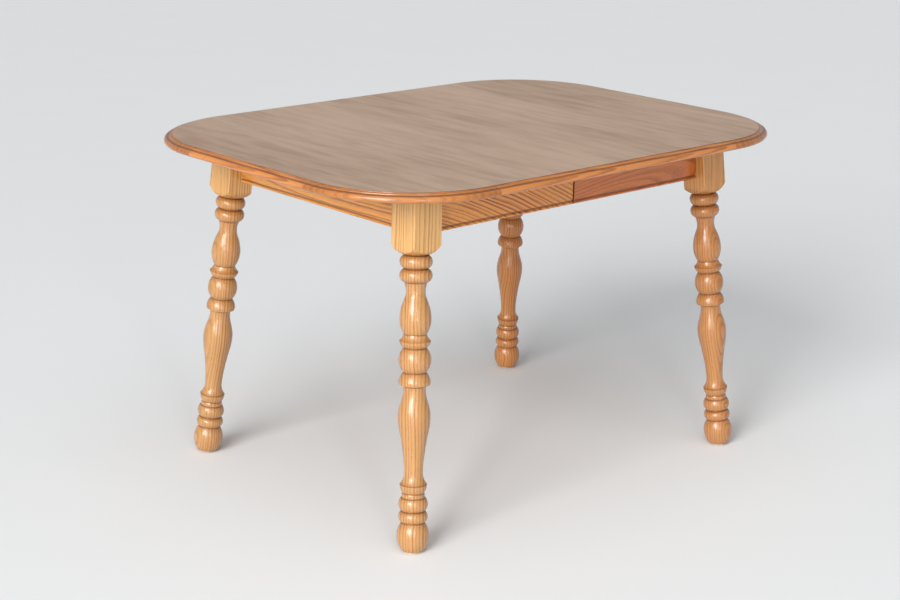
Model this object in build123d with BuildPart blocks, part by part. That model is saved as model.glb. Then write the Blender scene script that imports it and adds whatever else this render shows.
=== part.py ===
from build123d import *
import math
import os

# A dining table that opens at the middle of its length to take a leaf. The left half stands still
# and the right half slides along +X on two runs of geared hardwood rails.
# Millimetres. The origin is on the floor at the centre of the closed table, +X runs across the
# seam towards the sliding half, +Y runs from front to back, +Z is up.

os.makedirs("parts", exist_ok=True)

# ---------------------------------------------------------------- the closed table
LENGTH = 1219.0
WIDTH = 914.0
HEIGHT = 742.0
CORNER_RADIUS = 251.0
EXTENSION = 482.0  # travel of the sliding half: a 457 leaf and room to lift it past the dowels
SEAM_GAP = 0.3
TOUCH = 0.1  # between pieces of one half that meet on slanted or round faces

# ---------------------------------------------------------------- top
CORE_THICKNESS = 17.0
LAMINATE_THICKNESS = 1.0
EDGE_BAND = 32.0  # width of the solid wood edging
LAMINATE_INSET = 18.85  # from the nose of the edging back to the laminate
EDGE_STEP = 2.0  # the edging starts this far below the laminate's face
EDGE_FLAT = 8.0
EDGE_FLAT_FALL = 0.5
EDGE_COVE = 3.0
NOSE_DEPTH = 12.0  # from the laminate's face down to the widest point
NOSE_UNDERCUT = 3.85
CORNER_TAIL = 16.0  # straight stretch at each end of a corner piece
DOWEL_RADIUS = 4.0
DOWEL_SEATED = 20.0
DOWEL_PROUD = 12.0
DOWEL_FROM_EDGE = (127.0, 267.0)  # from the top's long edge to each dowel
DOWEL_PLAY = 0.3
DOWEL_HOLE_ROOM = 2.0  # past the end of a closed dowel
DOWEL_TIP = 1.5

# ---------------------------------------------------------------- aprons
APRON_HEIGHT = 94.0
APRON_THICKNESS = 19.0
APRON_SPLIT = 5.0  # gap between the two side aprons at the seam
APRON_BEAD = 6.0  # strip below the groove
APRON_GROOVE = 4.0
APRON_GROOVE_DEPTH = 2.0
SIDE_APRON_OFFSET = 17.4  # outer face beyond the leg's axis, at the top
END_APRON_OFFSET = 8.2

# ---------------------------------------------------------------- legs
LEG_INSET_X = 195.5  # from the table's end to the leg's axis, at the top
LEG_INSET_Y = 160.7
SPLAY_X = 4.31  # degrees
SPLAY_Y = 4.82
BLOCK = 70.0
BLOCK_LENGTH = 132.1
BLOCK_CHAMFER = 1.5
BOLT_FLAT = 10.0  # chamfer on the inner corner, where the hanger bolts enter
POMMEL = 24.0  # height over which the square block rounds down to the turning
FOOT_BALL = 60.0  # heights of the turned members along the leg, from the floor up
ANKLE_BEAD = 23.5
SHOE_BEAD = 27.3
SHOE_FILLET = 9.7
RING = 17.5
COLLAR = 24.2
BALL = 48.8
V_COLLAR = 27.7
NECK_BEAD = 27.0
LOWER_VASE_SHARE = 0.664  # of the length that the members above leave for the two vases
FULL_RADIUS = 32.4  # foot, vase, ball and neck beads
BEAD_RADIUS = 29.5
FOOT_RADIUS = 20.8
NOTCH = 23.2  # quirks between members
ANKLE_RADIUS = 21.8
RING_RADIUS = 27.3
LOWER_NECK = 18.7
WAIST = 22.2
COLLAR_RADIUS = 31.8
UPPER_VASE_RADIUS = 31.4
V_RADIUS = 31.4
UPPER_NECK = 19.2
GLIDE_THICKNESS = 4.0
GLIDE_RADIUS = 18.0
GLIDE_EASING = 1.2
GLIDE_NAIL_RADIUS = 1.5
GLIDE_NAIL_LENGTH = 15.0

# ---------------------------------------------------------------- corner blocks and leg bolts
CORNER_BLOCK_HEIGHT = 60.0
CORNER_BLOCK_THICKNESS = 28.0
CORNER_BLOCK_GAP = 3.0  # from the leg's corner, so that the bolts can pull the leg in
BOLT_RADIUS = 4.0
BOLT_IN_LEG = 42.0
BOLT_PAST_BLOCK = 20.0
BOLT_HEIGHTS = (16.0, 44.0)  # below the underside of the top
BOLT_PLAY = 0.5
BOLT_END_CHAMFER = 0.8
WASHER_RADIUS = 11.0
WASHER_THICKNESS = 2.0
NUT_HEIGHT = 8.0
NUT_RADIUS = 6.5
WING_REACH = 16.0
WING_HEIGHT = 15.0
WING_THICKNESS = 2.6

# ---------------------------------------------------------------- screws
SCREW_RADIUS = 2.1
SCREW_HEAD_RADIUS = 4.2
SCREW_HEAD_HEIGHT = 2.6
SCREW_TIP = 4.0
SCREW_RECESS = 1.2
SCREW_CROSS = (5.0, 0.9)  # length and width of the cross in a head
SCREW_BITE = 12.0  # how far a screw enters the core
HEAD_ROOM = 0.8  # play around a head in its counterbore
BLOCK_SCREW_LENGTH = 45.0
BLOCK_SCREW_SPREAD = 34.0
POCKET_SCREW_LENGTH = 37.0
POCKET_ANGLE = 15.0
SIDE_POCKET_PLACES = (0.2, 0.62)  # shares of the way from the seam to the leg
END_POCKET_PLACES = (-0.35, 0.35)
RAIL_SCREW_LENGTH = 32.0
PLATE_SCREW_LENGTH = 12.0

# ---------------------------------------------------------------- extension rails
RAIL_END_ROOM = 73.0  # from the end apron's inner face to the rail's end
RAIL_HEIGHT = 40.0
RAIL_WIDTH = 26.0
MIDDLE_WIDTH = 26.0
RAIL_PLAY = 0.5
RAIL_RELIEF = 2.0  # under the half that a rail isn't screwed to
DOVETAIL_BELOW = 13.0  # from the underside of the top to the dovetail's centre line
DOVETAIL_MOUTH = 4.0  # half heights
DOVETAIL_TIP = 6.5
DOVETAIL_DEPTH = 7.0
DOVETAIL_PLAY = 0.4
RAIL_SCREW_PLACES = (0.16, 0.5, 0.88)  # shares of the screwed half of a rail

# ---------------------------------------------------------------- gears
GEAR_MODULE = 2.0
PINION_TEETH = 16
PRESSURE_ANGLE = math.radians(20.0)
TOOTH_PLAY = 0.4
PINION_THICKNESS = 6.0
PINION_AXLE_RADIUS = 3.0
PINION_AXLE_PLAY = 0.08
RACK_ADDENDUM = 1.8
RACK_DEDENDUM = 2.3
RACK_BACK = 3.0
GEAR_ABOVE_RAIL_FOOT = 9.0  # from the rail's lower face to the gear's mid-plane
GEAR_ROOM = 0.6
AXLE_ABOVE_GEAR = 10.0
AXLE_END_ROOM = 0.5

# ---------------------------------------------------------------- table locks
LOCK_INSET = 48.0  # from the side apron's inner face to the lever's pivot
PIVOT_TO_SEAM = 28.0
STUD_TO_SEAM = 24.0
PLATE_THICKNESS = 2.0
PLATE_WIDTH = 40.0
PLATE_LENGTH = 54.0
PLATE_CORNER = 6.0
PLATE_TO_SEAM = 4.0
PLATE_SCREW_INSET = 7.0
LEVER_THICKNESS = 3.0
LEVER_WIDTH = 22.0
LEVER_REACH = 78.0
LEVER_TAB = 11.0
LEVER_ROOM = 0.5
LEVER_CORNER = 6.0
LEVER_TO_RAIL = 9.0  # from the open lever's tip to the rails
SLOT_SWEEP = 22.0  # degrees of the lever's slot, which opens at its edge
PIVOT_RADIUS = 4.0
PIVOT_PLAY = 0.08
STUD_RADIUS = 3.2
STUD_PLAY = 0.4
RIVET_HEAD = 3.0  # how far a head stands beyond its pin

# ---------------------------------------------------------------- places that follow
UNDERSIDE = HEIGHT - LAMINATE_THICKNESS - CORE_THICKNESS
CORE_TOP = HEIGHT - LAMINATE_THICKNESS
HEAD_X = LENGTH / 2 - LEG_INSET_X
HEAD_Y = WIDTH / 2 - LEG_INSET_Y
FOOT_X = HEAD_X + UNDERSIDE * math.tan(math.radians(SPLAY_X))
FOOT_Y = HEAD_Y + UNDERSIDE * math.tan(math.radians(SPLAY_Y))
LEG_LENGTH = math.hypot(UNDERSIDE, FOOT_X - HEAD_X, FOOT_Y - HEAD_Y)
TURNED_LENGTH = LEG_LENGTH - BLOCK_LENGTH
ANKLE_FOOT = FOOT_BALL
SHOE_FOOT = ANKLE_FOOT + ANKLE_BEAD
FILLET_FOOT = SHOE_FOOT + SHOE_BEAD
RING_FOOT = FILLET_FOOT + SHOE_FILLET
LOWER_VASE_FOOT = RING_FOOT + RING
VASES = TURNED_LENGTH - LOWER_VASE_FOOT - COLLAR - BALL - V_COLLAR - 2 * NECK_BEAD
COLLAR_FOOT = LOWER_VASE_FOOT + VASES * LOWER_VASE_SHARE
BALL_FOOT = COLLAR_FOOT + COLLAR
V_FOOT = BALL_FOOT + BALL
UPPER_VASE_FOOT = V_FOOT + V_COLLAR
NECK_BEADS_FOOT = UPPER_VASE_FOOT + VASES * (1 - LOWER_VASE_SHARE)
SIDE_APRON_INNER = HEAD_Y + SIDE_APRON_OFFSET - APRON_THICKNESS
END_APRON_INNER = HEAD_X + END_APRON_OFFSET - APRON_THICKNESS
APRON_FOOT = UNDERSIDE - APRON_HEIGHT
DIAGONAL = math.sqrt(2.0)
BLOCK_OUTER_FACE = (HEAD_X + HEAD_Y - BLOCK) / DIAGONAL - CORNER_BLOCK_GAP  # along the diagonal
BLOCK_INNER_FACE = BLOCK_OUTER_FACE - CORNER_BLOCK_THICKNESS
MIDDLE_FACE = MIDDLE_WIDTH / 2
RAIL_FACE = MIDDLE_FACE + RAIL_PLAY
RAIL_BACK = RAIL_FACE + RAIL_WIDTH
RAIL_FOOT = UNDERSIDE - RAIL_HEIGHT
RAIL_HALF_LENGTH = END_APRON_INNER - RAIL_END_ROOM
LOCK_Y = SIDE_APRON_INNER - LOCK_INSET
DOWEL_YS = [row * (WIDTH / 2 - inset) for row in (-1, 1) for inset in DOWEL_FROM_EDGE]
RUN_Y = LOCK_Y - LEVER_REACH - LEVER_TO_RAIL - RAIL_BACK
PITCH_RADIUS = GEAR_MODULE * PINION_TEETH / 2
GEAR_Z = RAIL_FOOT + GEAR_ABOVE_RAIL_FOOT
RACK_REACH = PITCH_RADIUS + RACK_DEDENDUM + RACK_BACK
BOLT_START = (BLOCK - BOLT_FLAT) / DIAGONAL - BOLT_IN_LEG  # from the leg's axis, along the bolt
LEVER_TOP = UNDERSIDE - PLATE_THICKNESS - LEVER_ROOM
SCREW_LINE = (RACK_REACH + RAIL_BACK) / 2  # rail screws, from the run's centre line

SIDES = {"left": -1, "right": 1}
ROWS = {"front": -1, "back": 1}
SIT = (Align.CENTER, Align.CENTER, Align.MIN)
HANG = (Align.CENTER, Align.CENTER, Align.MAX)


def save(builder, name):
    """Labels a finished piece and writes its file."""
    builder.part.label = name
    export_step(builder.part, f"parts/{name}.step")


# ================================================================ shared geometry
def leg_frame(side, row):
    """Plane at the foot of a leg: Z along the leg, X as near the table's X as the splay allows."""
    foot = Vector(side * FOOT_X, row * FOOT_Y, 0)
    head = Vector(side * HEAD_X, row * HEAD_Y, UNDERSIDE)
    axis = (head - foot).normalized()
    return Plane(origin=foot, x_dir=Vector(1, 0, 0) - axis * axis.X, z_dir=axis)


def upright(origin, outward):
    """Vertical plane whose local X points outward and whose local Y is the table's Z."""
    outward = Vector(*outward)
    return Plane(origin=origin, x_dir=outward, z_dir=outward.cross(Vector(0, 0, 1)))


def bolt_planes(side, row):
    """Hanger bolt axes of one leg, from the leg's axis towards the middle of the table."""
    planes = []
    for below in BOLT_HEIGHTS:
        z = UNDERSIDE - below
        share = below / UNDERSIDE
        x = side * (HEAD_X + (FOOT_X - HEAD_X) * share)
        y = row * (HEAD_Y + (FOOT_Y - HEAD_Y) * share)
        planes.append(Plane(origin=(x, y, z), x_dir=(0, 0, 1), z_dir=(-side, -row, 0)))
    return planes


def block_face_distance(plane):
    """From a bolt plane's origin to the inner face of its corner block."""
    return (abs(plane.origin.X) + abs(plane.origin.Y)) / DIAGONAL - BLOCK_INNER_FACE


def block_screw_planes(side, row):
    """Screws that run up through a corner block into the core."""
    middle = (BLOCK_OUTER_FACE + BLOCK_INNER_FACE) / 2 / DIAGONAL
    lean = (HEAD_X - HEAD_Y) / 2
    seat = UNDERSIDE + SCREW_BITE - BLOCK_SCREW_LENGTH
    shift = BLOCK_SCREW_SPREAD / DIAGONAL
    return [
        Plane(origin=(side * (middle + lean + k * shift), row * (middle - lean - k * shift), seat))
        for k in (-1, 1)
    ]


def pocket_plane(top_point, outward):
    """Slanting pocket screw that leaves an apron's top edge at a point, going up and outward."""
    angle = math.radians(POCKET_ANGLE)
    along = Vector(*outward) * math.sin(angle) + Vector(0, 0, 1) * math.cos(angle)
    seat = Vector(*top_point) - along * (POCKET_SCREW_LENGTH - SCREW_BITE)
    return Plane(origin=seat, z_dir=along)


def side_pocket_planes(side, row):
    """Two pocket screws of one side apron."""
    y = row * (SIDE_APRON_INNER + APRON_THICKNESS / 2)
    return [
        pocket_plane((side * HEAD_X * k, y, UNDERSIDE), (0, row, 0)) for k in SIDE_POCKET_PLACES
    ]


def end_pocket_planes(side):
    """Two pocket screws of one end apron."""
    x = side * (END_APRON_INNER + APRON_THICKNESS / 2)
    return [pocket_plane((x, HEAD_Y * k, UNDERSIDE), (side, 0, 0)) for k in END_POCKET_PLACES]


def rail_screw_planes(row, hand):
    """Screws that run up through a rail, on the half that carries it. Hand 1 is the fixed rail."""
    y = row * (RUN_Y + hand * SCREW_LINE)
    seat = UNDERSIDE + SCREW_BITE - RAIL_SCREW_LENGTH
    return [Plane(origin=(-hand * RAIL_HALF_LENGTH * k, y, seat)) for k in RAIL_SCREW_PLACES]


def plate_screw_planes(side, row):
    """Four screws at the corners of a lock's plate."""
    x = side * (PLATE_LENGTH / 2 + PLATE_TO_SEAM)
    reach_x = PLATE_LENGTH / 2 - PLATE_SCREW_INSET
    reach_y = PLATE_WIDTH / 2 - PLATE_SCREW_INSET
    seat = UNDERSIDE - PLATE_THICKNESS
    return [
        Plane(origin=(x + i * reach_x, row * LOCK_Y + j * reach_y, seat))
        for i in (-1, 1)
        for j in (-1, 1)
    ]


def long_screws(side):
    """Every screw of one half, as pairs of planes and length."""
    groups = []
    for row in ROWS.values():
        groups.append((block_screw_planes(side, row), BLOCK_SCREW_LENGTH))
        groups.append((side_pocket_planes(side, row), POCKET_SCREW_LENGTH))
        groups.append((rail_screw_planes(row, -side), RAIL_SCREW_LENGTH))
        groups.append((plate_screw_planes(side, row), PLATE_SCREW_LENGTH))
    groups.append((end_pocket_planes(side), POCKET_SCREW_LENGTH))
    return groups


def screws(planes, length, play=0.0, access=0.0, mode=Mode.ADD):
    """Countersunk screws on the given planes; with play and access, the holes that take them."""
    with Locations(*planes):
        Cone(SCREW_HEAD_RADIUS + play, SCREW_RADIUS + play, SCREW_HEAD_HEIGHT, align=SIT, mode=mode)
        Cylinder(SCREW_RADIUS + play, length - SCREW_TIP, align=SIT, mode=mode)
        if access:
            Cylinder(SCREW_HEAD_RADIUS + HEAD_ROOM, access, align=HANG, mode=mode)
        with Locations((0, 0, length - SCREW_TIP)):
            Cone(SCREW_RADIUS + play, 0.4 + play, SCREW_TIP + play, align=SIT, mode=mode)


def drill(planes, length, access=0.0):
    """Cuts the holes of a group of screws out of the piece being made."""
    screws(planes, length, TOUCH, access, Mode.SUBTRACT)


# ================================================================ top
def slab(side, inset, foot, thickness):
    """One half of the rounded plan, drawn in by an inset."""
    with BuildSketch(Plane.XY.offset(foot)) as plan:
        RectangleRounded(LENGTH - 2 * inset, WIDTH - 2 * inset, CORNER_RADIUS - inset)
        with Locations((side * (LENGTH + SEAM_GAP) / 2, 0)):
            Rectangle(LENGTH, WIDTH, mode=Mode.INTERSECT)
    extrude(plan.sketch, amount=thickness)


def edge_section(origin, outward):
    """Section of the edging: laminate rebate, step, cove, full nose and round lower corner."""
    flat_end = LAMINATE_INSET - EDGE_FLAT
    cove_top = HEIGHT - EDGE_STEP - EDGE_FLAT_FALL
    cove_foot = cove_top - EDGE_COVE
    cove_end = flat_end - EDGE_COVE
    nose = HEIGHT - NOSE_DEPTH
    quarter = math.sqrt(0.5)
    with BuildSketch(upright(origin, outward)) as section:
        with BuildLine():
            Polyline(
                (-NOSE_UNDERCUT, UNDERSIDE),
                (-EDGE_BAND, UNDERSIDE),
                (-EDGE_BAND, CORE_TOP),
                (-LAMINATE_INSET, CORE_TOP),
                (-LAMINATE_INSET, HEIGHT - EDGE_STEP),
                (-flat_end, cove_top),
            )
            ThreePointArc(
                (-flat_end, cove_top),
                (-cove_end - EDGE_COVE * quarter, cove_top - EDGE_COVE * quarter),
                (-cove_end, cove_foot),
            )
            ThreePointArc(
                (-cove_end, cove_foot),
                (-cove_end * (1 - quarter), nose + (cove_foot - nose) * quarter),
                (0, nose),
            )
            ThreePointArc(
                (0, nose),
                (-NOSE_UNDERCUT * (1 - quarter), nose - (nose - UNDERSIDE) * quarter),
                (-NOSE_UNDERCUT, UNDERSIDE),
            )
        make_face()
    return section.sketch


def make_tops():
    """Core, laminate and five lengths of edging for each half."""
    for name, side in SIDES.items():
        with BuildPart() as core:
            slab(side, EDGE_BAND, UNDERSIDE, CORE_THICKNESS)
            if side > 0:
                radius, depth = DOWEL_RADIUS + TOUCH, DOWEL_SEATED + TOUCH
            else:
                radius, depth = DOWEL_RADIUS + DOWEL_PLAY, DOWEL_PROUD + DOWEL_HOLE_ROOM
            for y in DOWEL_YS:
                mouth = (side * SEAM_GAP / 2, y, UNDERSIDE + CORE_THICKNESS / 2)
                with Locations(Plane(origin=mouth, z_dir=(side, 0, 0))):
                    Cylinder(radius, depth, align=SIT, mode=Mode.SUBTRACT)
            for planes, length in long_screws(side):
                drill(planes, length)
        save(core, f"{name}_top_core")

        with BuildPart() as laminate:
            slab(side, LAMINATE_INSET, CORE_TOP, LAMINATE_THICKNESS)
        save(laminate, f"{name}_laminate")

        with BuildPart() as end_edging:
            section = edge_section((side * LENGTH / 2, 0, 0), (side, 0, 0))
            extrude(section, amount=WIDTH / 2 - CORNER_RADIUS - CORNER_TAIL, both=True)
        save(end_edging, f"{name}_end_edging")

        for row_name, row in ROWS.items():
            with BuildPart() as side_edging:
                section = edge_section((side * SEAM_GAP / 2, row * WIDTH / 2, 0), (0, row, 0))
                run = LENGTH / 2 - CORNER_RADIUS - CORNER_TAIL - SEAM_GAP / 2
                extrude(section, amount=run, dir=(side, 0, 0))
            save(side_edging, f"{name}_{row_name}_edging")

            centre_x = side * (LENGTH / 2 - CORNER_RADIUS)
            centre_y = row * (WIDTH / 2 - CORNER_RADIUS)
            turn = Axis((centre_x, centre_y, 0), (0, 0, -side * row))
            with BuildPart() as corner_edging:
                long_side = edge_section((centre_x, row * WIDTH / 2, 0), (0, row, 0))
                revolve(long_side, axis=turn, revolution_arc=90)
                extrude(long_side, amount=CORNER_TAIL, dir=(-side, 0, 0))
                short_side = edge_section((side * LENGTH / 2, centre_y, 0), (side, 0, 0))
                extrude(short_side, amount=CORNER_TAIL, dir=(0, -row, 0))
            save(corner_edging, f"{name}_{row_name}_corner_edging")


def make_dowels():
    """Dowels that stand in the sliding half's seam and line the two tops up."""
    with BuildPart() as dowels:
        for y in DOWEL_YS:
            end = (SEAM_GAP / 2 + DOWEL_SEATED, y, UNDERSIDE + CORE_THICKNESS / 2)
            with Locations(Plane(origin=end, z_dir=(-1, 0, 0))):
                Cylinder(DOWEL_RADIUS, DOWEL_SEATED + DOWEL_PROUD, align=SIT)
        tips = dowels.faces().filter_by(Axis.X).group_by(Axis.X)[0]
        chamfer(tips.edges(), DOWEL_TIP)
    save(dowels, "seam_dowels")


# ================================================================ aprons
def apron_section(origin, outward):
    """Apron on edge, local X outward from its inner face, with a groove and a bead near its foot."""
    groove_foot = APRON_FOOT + APRON_BEAD
    groove_head = groove_foot + APRON_GROOVE
    floor = APRON_THICKNESS - APRON_GROOVE_DEPTH
    with BuildSketch(upright(origin, outward)) as section:
        with BuildLine():
            Polyline(
                (APRON_THICKNESS - APRON_BEAD / 2, APRON_FOOT),
                (0, APRON_FOOT),
                (0, UNDERSIDE),
                (APRON_THICKNESS, UNDERSIDE),
                (APRON_THICKNESS, groove_head),
                (floor, groove_head - APRON_GROOVE_DEPTH / 2),
                (floor, groove_foot),
                (APRON_THICKNESS - APRON_BEAD / 2, groove_foot),
            )
            ThreePointArc(
                (APRON_THICKNESS - APRON_BEAD / 2, groove_foot),
                (APRON_THICKNESS, groove_foot - APRON_BEAD / 2),
                (APRON_THICKNESS - APRON_BEAD / 2, APRON_FOOT),
            )
        make_face()
    return section.sketch


def block_side(side, row, outward):
    """Plane just off the face of a leg's block that an apron butts against."""
    frame = leg_frame(side, row)
    if outward == "x":
        direction = frame.x_dir * -side
    else:
        direction = frame.y_dir * -row
    return Plane(origin=frame.origin + direction * (BLOCK / 2 + TOUCH), z_dir=direction)


def make_aprons():
    """One end apron and two side aprons for each half, fitted between the leg blocks."""
    for name, side in SIDES.items():
        with BuildPart() as end_apron:
            section = apron_section((side * END_APRON_INNER, 0, 0), (side, 0, 0))
            extrude(section, amount=HEAD_Y, both=True)
            for row in ROWS.values():
                split(bisect_by=block_side(side, row, "y"), keep=Keep.TOP)
            drill(end_pocket_planes(side), POCKET_SCREW_LENGTH, APRON_HEIGHT / 2)
        save(end_apron, f"{name}_end_apron")

        for row_name, row in ROWS.items():
            with BuildPart() as side_apron:
                start = (side * APRON_SPLIT / 2, row * SIDE_APRON_INNER, 0)
                section = apron_section(start, (0, row, 0))
                extrude(section, amount=HEAD_X, dir=(side, 0, 0))
                split(bisect_by=block_side(side, row, "x"), keep=Keep.TOP)
                drill(side_pocket_planes(side, row), POCKET_SCREW_LENGTH, APRON_HEIGHT / 2)
            save(side_apron, f"{name}_{row_name}_apron")


# ================================================================ legs
def pommel_section(plane, foot):
    """What is left of the square block where it is rounded down to the turning."""
    corner = BLOCK / DIAGONAL + 1.0
    with BuildSketch(plane) as section:
        with BuildLine():
            Polyline(
                (NOTCH, foot),
                (0, foot),
                (0, LEG_LENGTH + BLOCK),
                (BLOCK, LEG_LENGTH + BLOCK),
                (BLOCK, foot + POMMEL),
                (corner, foot + POMMEL),
            )
            ThreePointArc(
                (corner, foot + POMMEL), (corner * 0.82, foot + POMMEL * 0.42), (NOTCH, foot)
            )
        make_face()
    return section.sketch


def swell(foot, widest, head):
    """Convex member: two arcs that meet upright at its widest point."""
    TangentArc(widest, foot, tangent=(0, -1))
    TangentArc(widest, head, tangent=(0, 1))


def lower_vase():
    """Ring's upper cove, long vase and the fillet under the collar."""
    length = COLLAR_FOOT - LOWER_VASE_FOOT

    def at(share):
        return LOWER_VASE_FOOT + length * share

    TangentArc((LOWER_NECK, at(0.11)), (RING_RADIUS, LOWER_VASE_FOOT), tangent=(0, -1))
    Spline(
        (LOWER_NECK, at(0.11)),
        (21.9, at(0.314)),
        (27.7, at(0.493)),
        (FULL_RADIUS, at(0.681)),
        tangents=((0, 1), (0, 1)),
    )
    Spline(
        (FULL_RADIUS, at(0.681)),
        (27.0, at(0.822)),
        (WAIST, at(0.95)),
        tangents=((0, 1), (0, 1)),
    )
    Polyline((WAIST, at(0.95)), (NOTCH, at(0.98)), (COLLAR_RADIUS - 1.0, COLLAR_FOOT))


def upper_vase():
    """Short vase, its neck and the cove under the neck beads."""
    length = NECK_BEADS_FOOT - UPPER_VASE_FOOT

    def at(share):
        return UPPER_VASE_FOOT + length * share

    TangentArc((UPPER_VASE_RADIUS, at(0.29)), (NOTCH, UPPER_VASE_FOOT), tangent=(0, -1))
    Spline(
        (UPPER_VASE_RADIUS, at(0.29)),
        (28.9, at(0.49)),
        (23.4, at(0.65)),
        (UPPER_NECK, at(0.83)),
        tangents=((0, 1), (0, 1)),
    )
    TangentArc((UPPER_NECK, at(0.83)), (NOTCH, NECK_BEADS_FOOT), tangent=(0, 1))


def turned_section(plane):
    """Half section of the turning, from the sole of the foot to the block."""
    shoe_head = BEAD_RADIUS - 5.0
    with BuildSketch(plane) as section:
        with BuildLine():
            Polyline((0, TURNED_LENGTH), (0, 0), (FOOT_RADIUS, 0))
            swell((FOOT_RADIUS, 0), (FULL_RADIUS, FOOT_BALL * 0.56), (NOTCH, ANKLE_FOOT))
            swell((NOTCH, ANKLE_FOOT), (BEAD_RADIUS, ANKLE_FOOT + ANKLE_BEAD / 2), (NOTCH, SHOE_FOOT))
            swell((NOTCH, SHOE_FOOT), (BEAD_RADIUS, SHOE_FOOT + SHOE_BEAD / 2), (shoe_head, FILLET_FOOT))
            Polyline(
                (shoe_head, FILLET_FOOT),
                (NOTCH, FILLET_FOOT + 1.0),
                (NOTCH, RING_FOOT - 3.0),
                (ANKLE_RADIUS, RING_FOOT),
            )
            ThreePointArc(
                (ANKLE_RADIUS, RING_FOOT),
                (RING_RADIUS - 1.3, RING_FOOT + RING / 2),
                (RING_RADIUS, LOWER_VASE_FOOT),
            )
            lower_vase()
            lip = (COLLAR_RADIUS, COLLAR_FOOT + COLLAR * 0.27)
            shoulder = ((COLLAR_RADIUS + NOTCH) / 2 + 0.6, COLLAR_FOOT + COLLAR * 0.72)
            ThreePointArc(
                (COLLAR_RADIUS - 1.0, COLLAR_FOOT),
                (COLLAR_RADIUS - 0.2, COLLAR_FOOT + COLLAR * 0.13),
                lip,
            )
            ThreePointArc(lip, shoulder, (NOTCH, BALL_FOOT))
            swell((NOTCH, BALL_FOOT), (FULL_RADIUS, BALL_FOOT + BALL / 2), (NOTCH, V_FOOT))
            edge = V_FOOT + V_COLLAR / 2
            lower_bulge = (V_RADIUS - 2.5, V_FOOT + V_COLLAR / 4)
            upper_hollow = (V_RADIUS - 5.2, edge + V_COLLAR / 4.5)
            ThreePointArc((NOTCH, V_FOOT), lower_bulge, (V_RADIUS, edge))
            ThreePointArc((V_RADIUS, edge), upper_hollow, (NOTCH, UPPER_VASE_FOOT))
            upper_vase()
            for foot in (NECK_BEADS_FOOT, NECK_BEADS_FOOT + NECK_BEAD):
                swell((NOTCH, foot), (FULL_RADIUS, foot + NECK_BEAD / 2), (NOTCH, foot + NECK_BEAD))
            Line((NOTCH, TURNED_LENGTH), (0, TURNED_LENGTH))
        make_face()
    return section.sketch


def glide_point(side, row):
    """Where a leg's axis meets the top of its glide."""
    share = GLIDE_THICKNESS / UNDERSIDE
    x = FOOT_X + (HEAD_X - FOOT_X) * share
    y = FOOT_Y + (HEAD_Y - FOOT_Y) * share
    return (side * x, row * y, GLIDE_THICKNESS)


def make_leg(side, row, name):
    """Splayed leg: square block, pommel and turning, with holes for its bolts and glide nail."""
    frame = leg_frame(side, row)
    section = Plane(origin=frame.origin, x_dir=frame.x_dir, z_dir=-frame.y_dir)
    axis = Axis(frame.origin, frame.z_dir)
    with BuildPart() as leg:
        with BuildSketch(frame.offset(TURNED_LENGTH)) as square:
            Rectangle(BLOCK, BLOCK)
            corners = square.vertices().sort_by_distance((-side * BLOCK, -row * BLOCK, 0))
            chamfer(corners[:1], BOLT_FLAT)
            outer = square.vertices().sort_by_distance((-side * BLOCK, -row * BLOCK, 0))
            chamfer(outer[2:], BLOCK_CHAMFER)
        extrude(amount=BLOCK_LENGTH + BLOCK / 2)
        revolve(pommel_section(section, TURNED_LENGTH), axis=axis, mode=Mode.INTERSECT)
        revolve(turned_section(section), axis=axis)
        split(bisect_by=Plane.XY.offset(UNDERSIDE), keep=Keep.BOTTOM)
        split(bisect_by=Plane.XY.offset(GLIDE_THICKNESS), keep=Keep.TOP)
        for plane in bolt_planes(side, row):
            with Locations(plane.offset(BOLT_START - 1.0)):
                Cylinder(BOLT_RADIUS + TOUCH, BLOCK, align=SIT, mode=Mode.SUBTRACT)
        with Locations(glide_point(side, row)):
            Cylinder(GLIDE_NAIL_RADIUS + TOUCH, GLIDE_NAIL_LENGTH + 1.0, align=SIT, mode=Mode.SUBTRACT)
    save(leg, name)


def make_glides():
    """Nailed glides, two under each half."""
    for name, side in SIDES.items():
        with BuildPart() as glides:
            for row in ROWS.values():
                with Locations(glide_point(side, row)):
                    Cylinder(GLIDE_RADIUS, GLIDE_THICKNESS, align=HANG)
            soles = glides.faces().filter_by(Axis.Z).group_by(Axis.Z)[0]
            fillet(soles.edges(), GLIDE_EASING)
            for row in ROWS.values():
                with Locations(glide_point(side, row)):
                    Cylinder(GLIDE_NAIL_RADIUS, GLIDE_NAIL_LENGTH, align=SIT)
        save(glides, f"{name}_foot_glides")


# ================================================================ corner blocks and their hardware
def make_corner_block(side, row, name):
    """Hardwood block glued across the corner of two aprons, bored for the leg's hanger bolts."""
    outer = BLOCK_OUTER_FACE * DIAGONAL
    inner = BLOCK_INNER_FACE * DIAGONAL
    corners = [
        (outer - SIDE_APRON_INNER, SIDE_APRON_INNER),
        (END_APRON_INNER, outer - END_APRON_INNER),
        (END_APRON_INNER, inner - END_APRON_INNER),
        (inner - SIDE_APRON_INNER, SIDE_APRON_INNER),
    ]
    with BuildPart() as block:
        with BuildSketch(Plane.XY.offset(UNDERSIDE - CORNER_BLOCK_HEIGHT)):
            with BuildLine():
                Polyline(*[(side * x, row * y) for x, y in corners], close=True)
            make_face()
        extrude(amount=CORNER_BLOCK_HEIGHT)
        with Locations(*bolt_planes(side, row)):
            Cylinder(BOLT_RADIUS + BOLT_PLAY, 4 * BLOCK, mode=Mode.SUBTRACT)
        drill(block_screw_planes(side, row), BLOCK_SCREW_LENGTH, CORNER_BLOCK_HEIGHT)
    save(block, name)


def hardware_planes(side):
    """Bolt axes of one half, each moved to the inner face of its corner block."""
    return [
        plane.offset(block_face_distance(plane))
        for row in ROWS.values()
        for plane in bolt_planes(side, row)
    ]


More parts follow.
